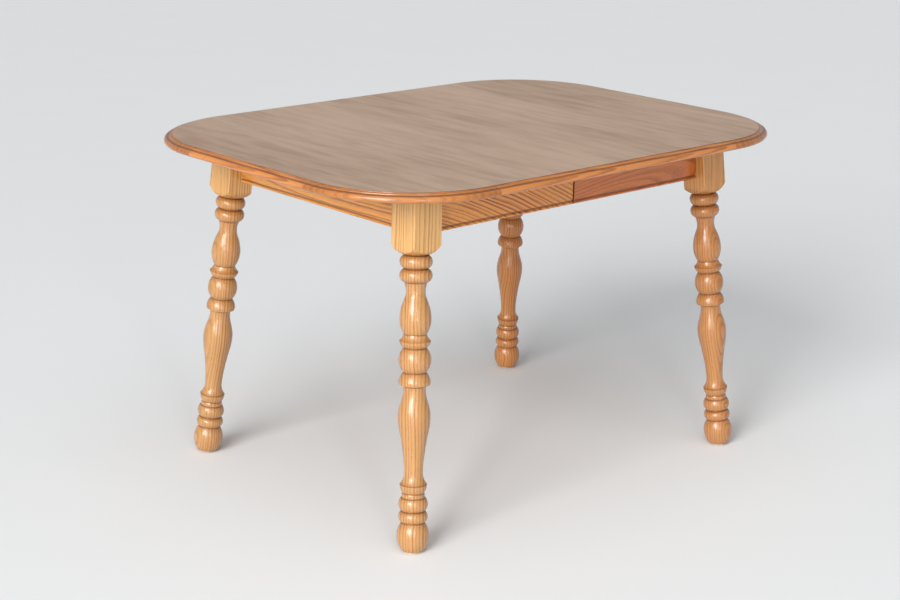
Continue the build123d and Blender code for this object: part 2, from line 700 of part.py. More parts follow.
def make_leg_hardware():
    """Hanger bolts, washers and wing nuts of each half."""
    for name, side in SIDES.items():
        with BuildPart() as bolts:
            for row in ROWS.values():
                for plane in bolt_planes(side, row):
                    length = block_face_distance(plane) + BOLT_PAST_BLOCK - BOLT_START
                    with Locations(plane.offset(BOLT_START)):
                        Cylinder(BOLT_RADIUS, length, align=SIT)
            chamfer(bolts.edges().filter_by(GeomType.CIRCLE), BOLT_END_CHAMFER)
        save(bolts, f"{name}_hanger_bolts")

        with BuildPart() as washers:
            with Locations(*hardware_planes(side)):
                Cylinder(WASHER_RADIUS, WASHER_THICKNESS, align=SIT)
                Cylinder(BOLT_RADIUS + BOLT_PLAY, WASHER_THICKNESS, align=SIT, mode=Mode.SUBTRACT)
        save(washers, f"{name}_washers")

        with BuildPart() as nuts:
            seats = [plane.offset(WASHER_THICKNESS) for plane in hardware_planes(side)]
            for seat in seats:
                with Locations(seat):
                    Cone(NUT_RADIUS + 1.0, NUT_RADIUS - 1.0, NUT_HEIGHT, align=SIT)
                with BuildSketch(Plane(origin=seat.origin, x_dir=seat.y_dir, z_dir=seat.x_dir)):
                    for k in (-1, 1):
                        with Locations((k * WING_REACH * 0.58, WING_HEIGHT * 0.52)):
                            SlotOverall(WING_HEIGHT, WING_HEIGHT * 0.52, rotation=k * 42)
                extrude(amount=WING_THICKNESS / 2, both=True)
                with Locations(seat):
                    Cylinder(BOLT_RADIUS + TOUCH, WING_HEIGHT + 4.0, align=SIT, mode=Mode.SUBTRACT)
        save(nuts, f"{name}_wing_nuts")


def make_screws():
    """Every wood screw of each half."""
    for name, side in SIDES.items():
        with BuildPart() as group:
            for planes, length in long_screws(side):
                screws(planes, length)
            for planes, length in long_screws(side):
                with Locations(*planes):
                    for size in (SCREW_CROSS, SCREW_CROSS[::-1]):
                        Box(*size, SCREW_RECESS, align=SIT, mode=Mode.SUBTRACT)
        save(group, f"{name}_wood_screws")


# ================================================================ extension rails
def dovetail(face, play):
    """Dovetail that grows from a face at a given distance, with play all round."""
    middle = UNDERSIDE - DOVETAIL_BELOW
    tip = MIDDLE_FACE + DOVETAIL_DEPTH + play
    flare = (DOVETAIL_TIP - DOVETAIL_MOUTH) / DOVETAIL_DEPTH
    mouth = DOVETAIL_MOUTH + play + flare * (face - MIDDLE_FACE)
    end = DOVETAIL_TIP + play
    return [(face, middle - mouth), (tip, middle - end), (tip, middle + end), (face, middle + mouth)]


def make_outer_rail(row, hand, name):
    """Rail screwed to one half. Hand 1 is the fixed rail, on the outer side; -1 the moving rail."""
    start = (-RAIL_HALF_LENGTH, row * RUN_Y, 0)
    groove_half = PINION_THICKNESS / 2 + GEAR_ROOM
    with BuildPart() as rail:
        with BuildSketch(upright(start, (0, row * hand, 0))):
            with Locations(((RAIL_FACE + RAIL_BACK) / 2, (RAIL_FOOT + UNDERSIDE) / 2)):
                Rectangle(RAIL_WIDTH, RAIL_HEIGHT)
            Polygon(*dovetail(RAIL_FACE, DOVETAIL_PLAY), align=None, mode=Mode.SUBTRACT)
            with Locations(((RAIL_FACE + RACK_REACH) / 2, GEAR_Z)):
                Rectangle(RACK_REACH - RAIL_FACE, 2 * groove_half, mode=Mode.SUBTRACT)
        extrude(amount=2 * RAIL_HALF_LENGTH, dir=(1, 0, 0))
        free_length = RAIL_HALF_LENGTH + 1.0
        with Locations((hand * (free_length / 2 - 1.0), row * RUN_Y, UNDERSIDE)):
            Box(free_length, 3 * RAIL_BACK, RAIL_RELIEF, align=HANG, mode=Mode.SUBTRACT)
        drill(rail_screw_planes(row, hand), RAIL_SCREW_LENGTH, RAIL_HEIGHT)
    save(rail, name)


def make_middle_rail(row, name):
    """Rail that joins the outer two, with a dovetail on each side and a window for the pinion."""
    start = (-RAIL_HALF_LENGTH, row * RUN_Y, 0)
    head = UNDERSIDE - RAIL_RELIEF
    with BuildPart() as rail:
        with BuildSketch(upright(start, (0, row, 0))):
            with Locations((0, (RAIL_FOOT + head) / 2)):
                Rectangle(MIDDLE_WIDTH, head - RAIL_FOOT)
            outline = dovetail(MIDDLE_FACE, 0.0)
            for k in (-1, 1):
                Polygon(*[(k * x, z) for x, z in outline], align=None)
        extrude(amount=2 * RAIL_HALF_LENGTH, dir=(1, 0, 0))
        with Locations((0, row * RUN_Y, GEAR_Z)):
            Box(
                2 * (PITCH_RADIUS + GEAR_MODULE + GEAR_ROOM),
                2 * MIDDLE_WIDTH,
                PINION_THICKNESS + 2 * GEAR_ROOM,
                mode=Mode.SUBTRACT,
            )
        with Locations((0, row * RUN_Y, RAIL_FOOT)):
            bore = PINION_AXLE_RADIUS + PINION_AXLE_PLAY
            depth = GEAR_ABOVE_RAIL_FOOT + AXLE_ABOVE_GEAR + 2 * AXLE_END_ROOM
            Cylinder(bore, depth, align=SIT, mode=Mode.SUBTRACT)
    save(rail, name)


def tooth_half_width(above_pitch):
    """Half width of a rack tooth at a height above the pitch line."""
    at_pitch = math.pi * GEAR_MODULE / 4 - TOOTH_PLAY / 4
    return at_pitch - above_pitch * math.tan(PRESSURE_ANGLE)


def make_rack(row, hand, name):
    """Toothed strip let into an outer rail, long enough for the pinion's half of the travel."""
    pitch = math.pi * GEAR_MODULE
    count = math.ceil(EXTENSION / 2 / pitch) + 4
    first = -2
    tip = PITCH_RADIUS - RACK_ADDENDUM
    root = PITCH_RADIUS + RACK_DEDENDUM
    low = first * pitch
    high = (first + count) * pitch
    height = PINION_THICKNESS + 2 * GEAR_ROOM
    plane = Plane(
        origin=(0, row * RUN_Y, GEAR_Z - height / 2), x_dir=(hand, 0, 0), z_dir=(0, 0, row)
    )
    with BuildPart() as rack:
        with BuildSketch(plane):
            with Locations(((low + high) / 2, (root + RACK_REACH) / 2)):
                Rectangle(high - low, RACK_REACH - root)
            tip_half = tooth_half_width(RACK_ADDENDUM)
            root_half = tooth_half_width(-RACK_DEDENDUM)
            for k in range(first, first + count):
                x = (k + 0.5) * pitch
                Polygon(
                    (x - root_half, root),
                    (x - tip_half, tip),
                    (x + tip_half, tip),
                    (x + root_half, root),
                    align=None,
                )
        extrude(amount=height, dir=(0, 0, 1))
    save(rack, name)


def pinion_tooth():
    """One involute tooth pointing along +Y, as a sketch."""
    base = PITCH_RADIUS * math.cos(PRESSURE_ANGLE)
    outer = PITCH_RADIUS + GEAR_MODULE
    root = PITCH_RADIUS - 1.25 * GEAR_MODULE

    def involute(angle):
        return math.tan(angle) - angle

    half_pitch = math.pi / 2 / PINION_TEETH - TOOTH_PLAY / 4 / PITCH_RADIUS
    flank = []
    for k in range(6):
        radius = base + (outer - base) * k / 5
        angle = half_pitch + involute(PRESSURE_ANGLE) - involute(math.acos(base / radius))
        flank.append((radius * math.sin(angle), radius * math.cos(angle)))
    foot = (flank[0][0], root * 0.9)
    with BuildSketch() as tooth:
        with BuildLine():
            Spline(*flank)
            Line(flank[0], foot)
            mirror(about=Plane.YZ)
            Line(foot, (-foot[0], foot[1]))
            ThreePointArc(flank[-1], (0, outer), (-flank[-1][0], flank[-1][1]))
        make_face()
    return tooth.sketch


def make_pinion(row, name):
    """Pinion with its own axle, turning in the middle rail between the two racks."""
    tooth = pinion_tooth()
    with BuildPart() as pinion:
        with BuildSketch(Plane(origin=(0, row * RUN_Y, GEAR_Z))):
            Circle(PITCH_RADIUS - 1.25 * GEAR_MODULE)
            for k in range(PINION_TEETH):
                add(tooth.rotate(Axis.Z, 360 / PINION_TEETH * k))
        extrude(amount=PINION_THICKNESS / 2, both=True)
        with Locations((0, row * RUN_Y, RAIL_FOOT + AXLE_END_ROOM)):
            Cylinder(PINION_AXLE_RADIUS, GEAR_ABOVE_RAIL_FOOT + AXLE_ABOVE_GEAR, align=SIT)
    save(pinion, name)


# ================================================================ table locks
def make_lock_plate(side, row, stem_x, stem_radius, name):
    """Plate under one half with a riveted stem: the lever's pivot, or the stud that it catches."""
    stem = PLATE_THICKNESS + LEVER_THICKNESS + 2 * LEVER_ROOM
    with BuildPart() as plate:
        with BuildSketch(Plane.XY.offset(UNDERSIDE)):
            with Locations((side * (PLATE_LENGTH / 2 + PLATE_TO_SEAM), row * LOCK_Y)):
                RectangleRounded(PLATE_LENGTH, PLATE_WIDTH, PLATE_CORNER)
        extrude(amount=-PLATE_THICKNESS)
        with Locations((side * stem_x, row * LOCK_Y, UNDERSIDE)):
            Cylinder(stem_radius, stem, align=HANG)
        with Locations((side * stem_x, row * LOCK_Y, UNDERSIDE - stem)):
            Cylinder(stem_radius + RIVET_HEAD, PLATE_THICKNESS, align=HANG)
        drill(plate_screw_planes(side, row), PLATE_SCREW_LENGTH)
    save(plate, name)


def make_lever(row, name):
    """Lock lever, lying open along the seam: its curved slot takes the stud when it is swung over."""
    throw = PIVOT_TO_SEAM + STUD_TO_SEAM
    pivot = (-PIVOT_TO_SEAM, row * LOCK_Y, LEVER_TOP)
    plane = Plane(origin=pivot, x_dir=(0, -row, 0), z_dir=(0, 0, row))
    stud_path = CenterArc((0, 0), throw, 0, SLOT_SWEEP)
    corner_y = LEVER_WIDTH / 2 - LEVER_CORNER
    with BuildPart() as lever:
        with BuildSketch(plane):
            Circle(LEVER_WIDTH / 2 + 1.0)
            with Locations(*[(LEVER_REACH - LEVER_CORNER, k * corner_y) for k in (-1, 1)]):
                Circle(LEVER_CORNER)
            make_hull()
            Circle(PIVOT_RADIUS + PIVOT_PLAY, mode=Mode.SUBTRACT)
            SlotArc(stud_path, 2 * (STUD_RADIUS + STUD_PLAY), mode=Mode.SUBTRACT)
        extrude(amount=LEVER_THICKNESS, dir=(0, 0, -1))
        tab_y = LOCK_Y - LEVER_REACH + LEVER_THICKNESS / 2
        with Locations((-PIVOT_TO_SEAM, row * tab_y, LEVER_TOP)):
            Box(2 * corner_y, LEVER_THICKNESS, LEVER_TAB, align=HANG)
    save(lever, name)


# ================================================================ the whole table
def make_frames():
    """Aprons, legs, corner blocks and their hardware."""
    make_aprons()
    for side_name, side in SIDES.items():
        for row_name, row in ROWS.items():
            make_leg(side, row, f"{side_name}_{row_name}_leg")
            make_corner_block(side, row, f"{side_name}_{row_name}_corner_block")
    make_leg_hardware()
    make_glides()
    make_screws()


def make_mechanism():
    """Two runs of rails with their gears, and two locks."""
    for row_name, row in ROWS.items():
        make_outer_rail(row, 1, f"{row_name}_fixed_rail")
        make_middle_rail(row, f"{row_name}_middle_rail")
        make_outer_rail(row, -1, f"{row_name}_moving_rail")
        make_rack(row, 1, f"{row_name}_fixed_rack")
        make_rack(row, -1, f"{row_name}_moving_rack")
        make_pinion(row, f"{row_name}_pinion")
        make_lock_plate(-1, row, PIVOT_TO_SEAM, PIVOT_RADIUS, f"{row_name}_lock_plate")
        make_lock_plate(1, row, STUD_TO_SEAM, STUD_RADIUS, f"{row_name}_lock_keeper")
        make_lever(row, f"{row_name}_lock_lever")


make_tops()
make_dowels()
make_frames()
make_mechanism()
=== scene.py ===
import math

import bmesh
import bpy
from bpy.props import FloatProperty, FloatVectorProperty, PointerProperty
from mathutils import Matrix, Vector


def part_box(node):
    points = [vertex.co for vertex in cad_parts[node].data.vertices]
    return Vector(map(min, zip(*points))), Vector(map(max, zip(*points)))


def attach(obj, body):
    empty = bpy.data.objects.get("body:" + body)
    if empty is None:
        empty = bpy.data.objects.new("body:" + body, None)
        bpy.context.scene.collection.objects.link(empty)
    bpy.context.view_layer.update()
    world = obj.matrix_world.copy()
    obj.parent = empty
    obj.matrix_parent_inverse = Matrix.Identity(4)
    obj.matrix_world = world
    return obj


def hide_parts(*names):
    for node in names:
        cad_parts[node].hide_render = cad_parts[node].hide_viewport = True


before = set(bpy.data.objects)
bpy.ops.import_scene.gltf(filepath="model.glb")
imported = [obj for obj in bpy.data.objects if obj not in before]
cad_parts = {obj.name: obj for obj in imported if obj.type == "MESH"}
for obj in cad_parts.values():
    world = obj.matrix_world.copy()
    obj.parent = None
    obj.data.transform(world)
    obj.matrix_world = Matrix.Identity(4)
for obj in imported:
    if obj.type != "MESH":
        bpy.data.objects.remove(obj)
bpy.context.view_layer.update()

bl_info = {
    "name": "Oak Extending Table",
    "version": (1, 0, 0),
    "blender": (4, 5, 0),
    "location": "View3D > Sidebar > Table",
    "description": "Lacquered timber, moulded edging and hardware for an extending dining table",
    "category": "Object",
}

SIDES = {"left": -1, "right": 1}
ROWS = {"front": -1, "back": 1}
HALF = {"left": "fixed_half", "right": "sliding_half"}
TOP_LOW, TOP_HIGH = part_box("left_laminate")
CORE_LOW, CORE_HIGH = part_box("left_top_core")
CORNER_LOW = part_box("left_front_corner_edging")[0]
TABLE_END = -CORNER_LOW.x
TABLE_SIDE = -CORNER_LOW.y
SEAM = -TOP_HIGH.x
END_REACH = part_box("left_end_edging")[1].y
SIDE_REACH = -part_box("left_front_edging")[0].x
UP = (0, 0, 1)

# Timber, in metres: how far rings wander and ripple, and the noise scales across and along it.
WANDER, RIPPLE = 0.02, 0.0022
WANDER_SCALE = (9.0, 9.0, 2.4)
RIPPLE_SCALE = (70.0, 70.0, 11.0)
STRENGTH_SCALE = (24.0, 24.0, 4.0)
FIBRE_SCALE = (420.0, 420.0, 9.0)
PORE_SCALE = (1300.0, 1300.0, 40.0)
DRIFT_SCALE = (6.0, 6.0, 1.5)
PAINTED_SHADE_FADE = 0.012  # from the painted shade on the turned leg up to the planed block
# Painted shade: multiplied into the turned leg below its block, so it reads darker than the block.
TURNED_PAINTED_SHADE = (0.76, 0.69, 0.71)

# Edging: room inside the CAD nose, and the painted shade that darkens the corner lengths.
NOSE_ROOM = 0.0001
CORNER_PAINTED_SHADE = 0.82
CORNER_STEPS = 48

# How far the darkening spreads from the edging's cove, the apron's groove and the legs' quirks:
# partly gathered stain, partly painted shade.
COVE_REACH, GROOVE_REACH, QUIRK_REACH = 0.0016, 0.0028, 0.0024
APRON_GROOVE = 0.0075  # above the apron's lower edge

# Heights up the leg, from the sole, of the quirks between its turned members.
TURNING_QUIRKS = (
    0.056, 0.0795, 0.1068, 0.1165, 0.134, 0.3335, 0.3599, 0.4087, 0.4364, 0.5385, 0.5655, 0.5925,
)


def srgb(red, green, blue):
    """Linear colour of a paint chip given in 0 to 255."""
    def linear(level):
        share = level / 255
        return share / 12.92 if share <= 0.04045 else ((share + 0.055) / 1.055) ** 2.4

    return (linear(red), linear(green), linear(blue))


def colour_property(name, description, chip):
    return FloatVectorProperty(
        name=name, description=description, default=srgb(*chip), size=3, min=0.0, max=1.0,
        subtype="COLOR",
    )


def length_property(name, description, metres):
    return FloatProperty(
        name=name, description=description, default=metres, min=0.0, unit="LENGTH",
        subtype="DISTANCE", precision=4,
    )


# ---------------------------------------------------------------- sizes and colours
class TableFinish(bpy.types.PropertyGroup):
    """Stains, laminate and ring width of the timber."""

    oak_light: colour_property("Leg light wood", "Lacquered oak between the rings", (221, 178, 116))
    oak_dark: colour_property("Leg ring lines", "Pores at the start of each ring", (172, 112, 56))
    apron_light: colour_property("Apron light wood", "Stained apron board", (216, 154, 84))
    apron_dark: colour_property("Apron ring lines", "Dark arcs of the apron boards", (128, 68, 30))
    edging_light: colour_property("Edging light wood", "Stained edging", (204, 136, 74))
    edging_dark: colour_property("Edging ring lines", "Dark lines of the edging", (142, 76, 34))
    laminate: colour_property("Laminate", "Taupe printed wood", (194, 165, 141))
    laminate_streak: colour_property("Laminate streaks", "Darker print lines", (148, 116, 92))
    ring_width: length_property("Ring width", "Growth ring width of the oak", 0.0058)


class EdgingSizes(bpy.types.PropertyGroup):
    """Section of the solid edging."""

    step: length_property("Step", "Edging below the laminate's face", 0.002)
    flat: length_property("Flat", "Width of the flat beside the laminate", 0.008)
    fall: length_property("Fall", "How far the flat falls outward", 0.0005)
    cove: length_property("Cove", "Radius of the cove outside the flat", 0.003)
    nose: length_property("Nose depth", "From the laminate's face down to the nose", 0.012)
    undercut: length_property("Undercut", "How far the lower corner turns in", 0.00385)
    easing: length_property("Easing", "Radius that softens each arris", 0.0005)
    corner: length_property("Corner radius", "Of the nose line at the table's corners", 0.251)


class FastenerSizes(bpy.types.PropertyGroup):
    """Sizes of the screws and hanger bolts."""

    head_radius: length_property("Screw head radius", "Countersunk head", 0.0042)
    head_height: length_property("Screw head height", "Countersunk head", 0.0026)
    shank_radius: length_property("Screw shank radius", "Over the thread", 0.0021)
    screw_pitch: length_property("Screw pitch", "From thread to thread", 0.0018)
    tip: length_property("Screw tip", "Length of the point", 0.004)
    bolt_radius: length_property("Bolt radius", "Over the thread", 0.004)
    bolt_pitch: length_property("Bolt pitch", "From thread to thread", 0.00125)


class StudioSettings(bpy.types.PropertyGroup):
    """Camera and lights."""

    camera_place: FloatVectorProperty(
        name="Camera place", description="Where the camera stands", subtype="TRANSLATION",
        default=(-2.6445, -2.8633, 1.5136), unit="LENGTH",
    )
    heading: FloatProperty(
        name="Heading", description="Direction of view from +X", subtype="ANGLE",
        default=math.radians(47.886),
    )
    dip: FloatProperty(
        name="Dip", description="How far the view looks down", subtype="ANGLE",
        default=math.radians(16.64),
    )
    roll: FloatProperty(
        name="Roll", description="Turn about the line of sight", subtype="ANGLE",
        default=math.radians(0.956),
    )
    lens: FloatProperty(
        name="Focal length", description="On a 36 mm frame", default=72.62, unit="CAMERA",
    )
    key_power: FloatProperty(
        name="Key light", description="Power of the main softbox", default=60.0, unit="POWER",
    )
    sun_strength: FloatProperty(
        name="Window light", description="Strength of the broad side light", default=2.4,
    )
    room_light: FloatProperty(
        name="Room light", description="Strength of the even light all round", default=0.38,
    )
    backdrop: FloatProperty(
        name="Backdrop", description="How bright the room looks beyond the floor", default=0.8,
    )
    floor: colour_property("Floor", "Plain pale floor", (233, 234, 234))


# ---------------------------------------------------------------- node trees
class Value:
    """One socket of a node tree, so that sums on values read as plain arithmetic."""

    def __init__(self, wiring, socket):
        self.wiring = wiring
        self.socket = socket

    def output(self, index):
        """Another output of the same node."""
        return Value(self.wiring, self.socket.node.outputs[index])

    def _math(self, operation, first, second):
        return self.wiring.node("ShaderNodeMath", {"operation": operation}, {0: first, 1: second})

    def __add__(self, other):
        return self._math("ADD", self, other)

    def __radd__(self, other):
        return self._math("ADD", other, self)

    def __sub__(self, other):
        return self._math("SUBTRACT", self, other)

    def __rsub__(self, other):
        return self._math("SUBTRACT", other, self)

    def __mul__(self, other):
        return self._math("MULTIPLY", self, other)

    def __rmul__(self, other):
        return self._math("MULTIPLY", other, self)

    def __truediv__(self, other):
        return self._math("DIVIDE", self, other)

    def __rtruediv__(self, other):
        return self._math("DIVIDE", other, self)


class Wiring:
    """Adds nodes to a tree."""

    def __init__(self, tree):
        self.tree = tree

    def node(self, kind, settings=None, sockets=None, output=0):
        """New node of a type: its settings first, then the values or links of its sockets."""
        node = self.tree.nodes.new(kind)
        node.location = (200 * len(self.tree.nodes), 0)
        for key, value in (settings or {}).items():
            setattr(node, key, value)
        for key, value in (sockets or {}).items():
            if isinstance(value, Value):
                self.tree.links.new(value.socket, node.inputs[key])
            else:
                node.inputs[key].default_value = value
        return Value(self, node.outputs[output]) if len(node.outputs) else None

    def scaled(self, vector, factors):
        return self.node("ShaderNodeVectorMath", {"operation": "MULTIPLY"}, {0: vector, 1: factors})


class Finish(Wiring):
    """A procedural material on object coordinates."""

    def __init__(self, name):
        self.material = bpy.data.materials.new(name)
        self.material.use_nodes = True
        super().__init__(self.material.node_tree)
        self.tree.nodes.clear()
        self.place = self.node("ShaderNodeTexCoord", output="Object")

    def noise(self, vector, detail=2.0, roughness=0.5):
        return self.node(
            "ShaderNodeTexNoise", {},
            {"Vector": vector, "Scale": 1.0, "Detail": detail, "Roughness": roughness},
        )

    def smooth(self, value, low, high):
        """Rises from 0 at low to 1 at high."""
        return self.node(
            "ShaderNodeMapRange", {"interpolation_type": "SMOOTHSTEP"},
            {"Value": value, "From Min": low, "From Max": high},
        )

    def mix(self, share, first, second, how="MIX"):
        """Colour between two colours."""
        sockets = {0: share}
        for index, colour in ((6, first), (7, second)):
            sockets[index] = colour if isinstance(colour, Value) else (*colour, 1.0)
        return self.node("ShaderNodeMix", {"data_type": "RGBA", "blend_type": how}, sockets, 2)

    def shade(self, colour, roughness, height=None, depth=0.0002, **constants):
        """Joins the colour, roughness and relief to the surface."""
        sockets = {"Base Color": colour, "Roughness": roughness}
        if height is not None:
            sockets["Normal"] = self.node(
                "ShaderNodeBump", {}, {"Height": height, "Distance": depth, "Strength": 0.6}
            )
        for key, value in constants.items():
            sockets[key.replace("_", " ").title().replace("Ior", "IOR")] = value
        surface = self.node("ShaderNodeBsdfPrincipled", {}, sockets)
        self.node("ShaderNodeOutputMaterial", {}, {"Surface": surface})
        return self.material


class Recipe(Wiring):
    """A geometry tree with named inputs, run on a mesh to make a plain mesh."""

    def __init__(self, name, inputs):
        super().__init__(bpy.data.node_groups.new(name, "GeometryNodeTree"))
        self.identifiers = {}
        for label, kind in inputs.items():
            socket = self.tree.interface.new_socket(
                name=label, in_out="INPUT", socket_type=f"NodeSocket{kind}"
            )
            self.identifiers[label] = socket.identifier
        self.tree.interface.new_socket(
            name="Geometry", in_out="OUTPUT", socket_type="NodeSocketGeometry"
        )
        self.given = self.node("NodeGroupInput")

    def input(self, label):
        return self.given.output(label)

    def join(self, *parts):
        """Several geometries as one."""
        node = self.tree.nodes.new("GeometryNodeJoinGeometry")
        for part in parts:
            self.tree.links.new(part.socket, node.inputs[0])
        return Value(self, node.outputs[0])

    def moved(self, geometry, z):
        up = self.node("ShaderNodeCombineXYZ", {}, {"Z": z})
        return self.node(
            "GeometryNodeTransform", {}, {"Geometry": geometry, "Translation": up}
        )

    def finish(self, geometry):
        """Ends the tree: real geometry with its material."""
        real = self.node("GeometryNodeRealizeInstances", {}, {"Geometry": geometry})
        painted = self.node(
            "GeometryNodeSetMaterial", {}, {"Geometry": real, "Material": self.input("Finish")}
        )
        self.node("NodeGroupOutput", {}, {0: painted})
        return self

    def run(self, name, base, **values):
        """Runs the tree on a mesh and returns the result as a plain object."""
        carrier = new_object(f"{name}_base", base)
        modifier = carrier.modifiers.new(self.tree.name, "NODES")
        modifier.node_group = self.tree
        for label, value in values.items():
            modifier[self.identifiers[label.replace("_", " ")]] = value
        result = carrier.evaluated_get(bpy.context.evaluated_depsgraph_get())
        mesh = bpy.data.meshes.new_from_object(result)
        carrier.modifiers.remove(modifier)
        bpy.data.objects.remove(carrier)
        if not mesh.polygons:
            raise RuntimeError(f"{self.tree.name} made nothing for {name}")
        return new_object(name, mesh)


def new_object(name, mesh):
    thing = bpy.data.objects.new(name, mesh)
    bpy.context.scene.collection.objects.link(thing)
    return thing


def smooth_shading(mesh, angle):
    mesh.shade_smooth()
    mesh.set_sharp_from_angle(angle=math.radians(angle))


def paint(node, material):
    """Gives a CAD node its finish."""
    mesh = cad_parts[node].data
    mesh.materials.clear()
    mesh.materials.append(material)


def tinted(colour, tint):
    return tuple(level * share for level, share in zip(colour, tint))


def darker(colour, share):
    return tuple(level * share for level in colour)


# ---------------------------------------------------------------- timber
def stain_and_shade_bands(wood, axis, heights, reach):
    """1 in narrow bands across an axis, where the quirks are darkened by gathered stain and painted
    shade, and 0 elsewhere.
    """
    level = wood.node(
        "ShaderNodeVectorMath", {"operation": "DOT_PRODUCT"}, {0: wood.place, 1: tuple(axis)},
        output=1,
    )
    nearest = 1.0
    for height in heights:
        away = wood.node("ShaderNodeMath", {"operation": "ABSOLUTE"}, {0: level - height})
        nearest = wood.node("ShaderNodeMath", {"operation": "MINIMUM"}, {0: nearest, 1: away})
    return 1 - wood.smooth(nearest, 0.15 * reach, reach)


def timber(name, pith, grain, light, dark, ring_width, contrast=0.8, pores=0.7, bare=False,
           wave=1.0, quirks=None, turned=None):
    """Solid wood cut from a log: rings about the pith line, pores along the grain.

    End grain takes more stain, and quirks take gathered stain and painted shade. A leg below
    turned, the foot of its block, is darkened with painted shade.
    """
    wood = Finish(name)
    turn = Vector(grain).to_track_quat("Z", "Y").to_euler()
    log = wood.node(
        "ShaderNodeMapping", {"vector_type": "TEXTURE"},
        {"Vector": wood.place, "Location": tuple(pith), "Rotation": tuple(turn)},
    )
    bend = wood.noise(wood.scaled(log, WANDER_SCALE), detail=1.0)
    ripple = wood.noise(wood.scaled(log, RIPPLE_SCALE), detail=2.0)
    reach = wood.node(
        "ShaderNodeVectorMath", {"operation": "LENGTH"},
        {0: wood.scaled(log, (1.0, 1.0, 0.0))}, output=1,
    )
    radius = reach + (bend - 0.5) * WANDER * wave + (ripple - 0.5) * RIPPLE
    years = wood.noise(wood.node("ShaderNodeCombineXYZ", {}, {"X": radius * 70.0}), detail=1.0)
    rings = radius / ring_width + (years - 0.5) * 1.6
    phase = wood.node("ShaderNodeMath", {"operation": "FRACT"}, {0: rings})
    early = wood.smooth(phase, 0.0, 0.1) * (1 - wood.smooth(phase, 0.12, 0.7))
    strength = wood.smooth(wood.noise(wood.scaled(log, STRENGTH_SCALE), detail=2.0), 0.3, 0.7)
    season = wood.noise(wood.node("ShaderNodeCombineXYZ", {}, {"X": rings * 0.6, "Y": 3.7}))
    line = early * (0.35 + 0.45 * strength + 0.7 * wood.smooth(season, 0.35, 0.65))
    fibre = wood.noise(wood.scaled(log, FIBRE_SCALE), detail=3.0, roughness=0.6)
    pore = wood.smooth(
        wood.noise(wood.scaled(log, PORE_SCALE), detail=1.0), 0.56, 0.7
    ) * (0.3 + 0.9 * early)
    drift = wood.noise(wood.scaled(log, DRIFT_SCALE), detail=1.0)
    warm = tinted(light, (1.0, 0.88, 0.72))
    body = wood.mix(wood.smooth(drift, 0.35, 0.68) * 0.7, light, warm)
    body = wood.mix((fibre - 0.35) * 0.5, body, dark)
    body = wood.mix(line * contrast, body, dark)
    body = wood.mix(pore * pores * 0.75, body, darker(dark, 0.45))
    face = wood.node("ShaderNodeTexCoord", output="Normal")
    across = wood.node(
        "ShaderNodeVectorMath", {"operation": "DOT_PRODUCT"},
        {0: face, 1: tuple(Vector(grain).normalized())}, output=1,
    )
    cut = wood.smooth(wood.node("ShaderNodeMath", {"operation": "ABSOLUTE"}, {0: across}), 0.3, 0.9)
    body = wood.mix(cut * 0.55, body, dark)
    # Painted shade darkens the turned leg below its block.
    if turned is not None:
        level = wood.node("ShaderNodeSeparateXYZ", {}, {0: wood.place}, output="Z")
        below = 1 - wood.smooth(level, turned, turned + PAINTED_SHADE_FADE)
        body = wood.mix(below, body, TURNED_PAINTED_SHADE, "MULTIPLY")
    # Gathered stain and painted shade darken the quirks.
    if quirks:
        body = wood.mix(stain_and_shade_bands(wood, *quirks) * 0.72, body, darker(dark, 0.5))
    if bare:
        rough = 0.62 + 0.12 * fibre
        return wood.shade(body, rough, fibre * 0.5 - pore, 0.00012, specular_ior_level=0.35)
    rough = 0.33 + 0.1 * fibre + 0.12 * pore
    return wood.shade(
        body, rough, fibre * 0.25 - pore * 0.8 - line * 0.2, 0.0001,
        coat_weight=0.9, coat_roughness=0.22, specular_ior_level=0.25,
    )


def board(name, pierce, run, rise, lean, face, light, dark, contrast=0.9, width=1.0, wave=1.0,
          quirks=None):
    """Flat-sawn board: the pith line pierces its face at a point and leans out of the board."""
    along = Vector(run)
    out = Vector(face)
    tilt, climb = math.radians(lean), math.radians(rise)
    grain = along * math.cos(tilt) * math.cos(climb) + out * math.sin(tilt)
    grain += Vector((0, 0, 1)) * math.cos(tilt) * math.sin(climb)
    rings = bpy.context.scene.table_finish.ring_width * width
    return timber(name, pierce, grain, light, dark, rings, contrast, wave=wave, quirks=quirks)


# ---------------------------------------------------------------- other finishes
def laminate_finish():
    """Satin printed laminate with faint streaks across the table and a dark cut edge."""
    colours = bpy.context.scene.table_finish
    sheet = Finish("taupe_laminate")
    cloud = sheet.noise(sheet.scaled(sheet.place, (5.0, 1.6, 1.0)), detail=3.0)
    streak = sheet.noise(sheet.scaled(sheet.place, (48.0, 6.0, 1.0)), detail=4.0, roughness=0.6)
    fine = sheet.noise(sheet.scaled(sheet.place, (900.0, 28.0, 1.0)), detail=2.0)
    tone = sheet.smooth(streak, 0.38, 0.68) * 0.4 + sheet.smooth(cloud, 0.38, 0.68) * 0.24
    tick = sheet.smooth(fine, 0.6, 0.75) * 0.25
    body = sheet.mix(tone, colours.laminate, colours.laminate_streak)
    pale = tuple(min(1.0, level * 1.12) for level in colours.laminate)
    body = sheet.mix(sheet.smooth(cloud, 0.62, 0.3) * 0.35, body, pale)
    body = sheet.mix(tick, body, darker(colours.laminate_streak, 0.7))
    facing = sheet.node("ShaderNodeTexCoord", output="Normal")
    up = sheet.node("ShaderNodeSeparateXYZ", {}, {0: facing}, output="Z")
    body = sheet.mix(1 - sheet.smooth(up, 0.3, 0.7), body, srgb(116, 82, 58))
    rough = 0.34 + 0.08 * fine + 0.05 * cloud
    return sheet.shade(body, rough, fine * 0.6 + streak * 0.4, 0.00004, specular_ior_level=0.5)


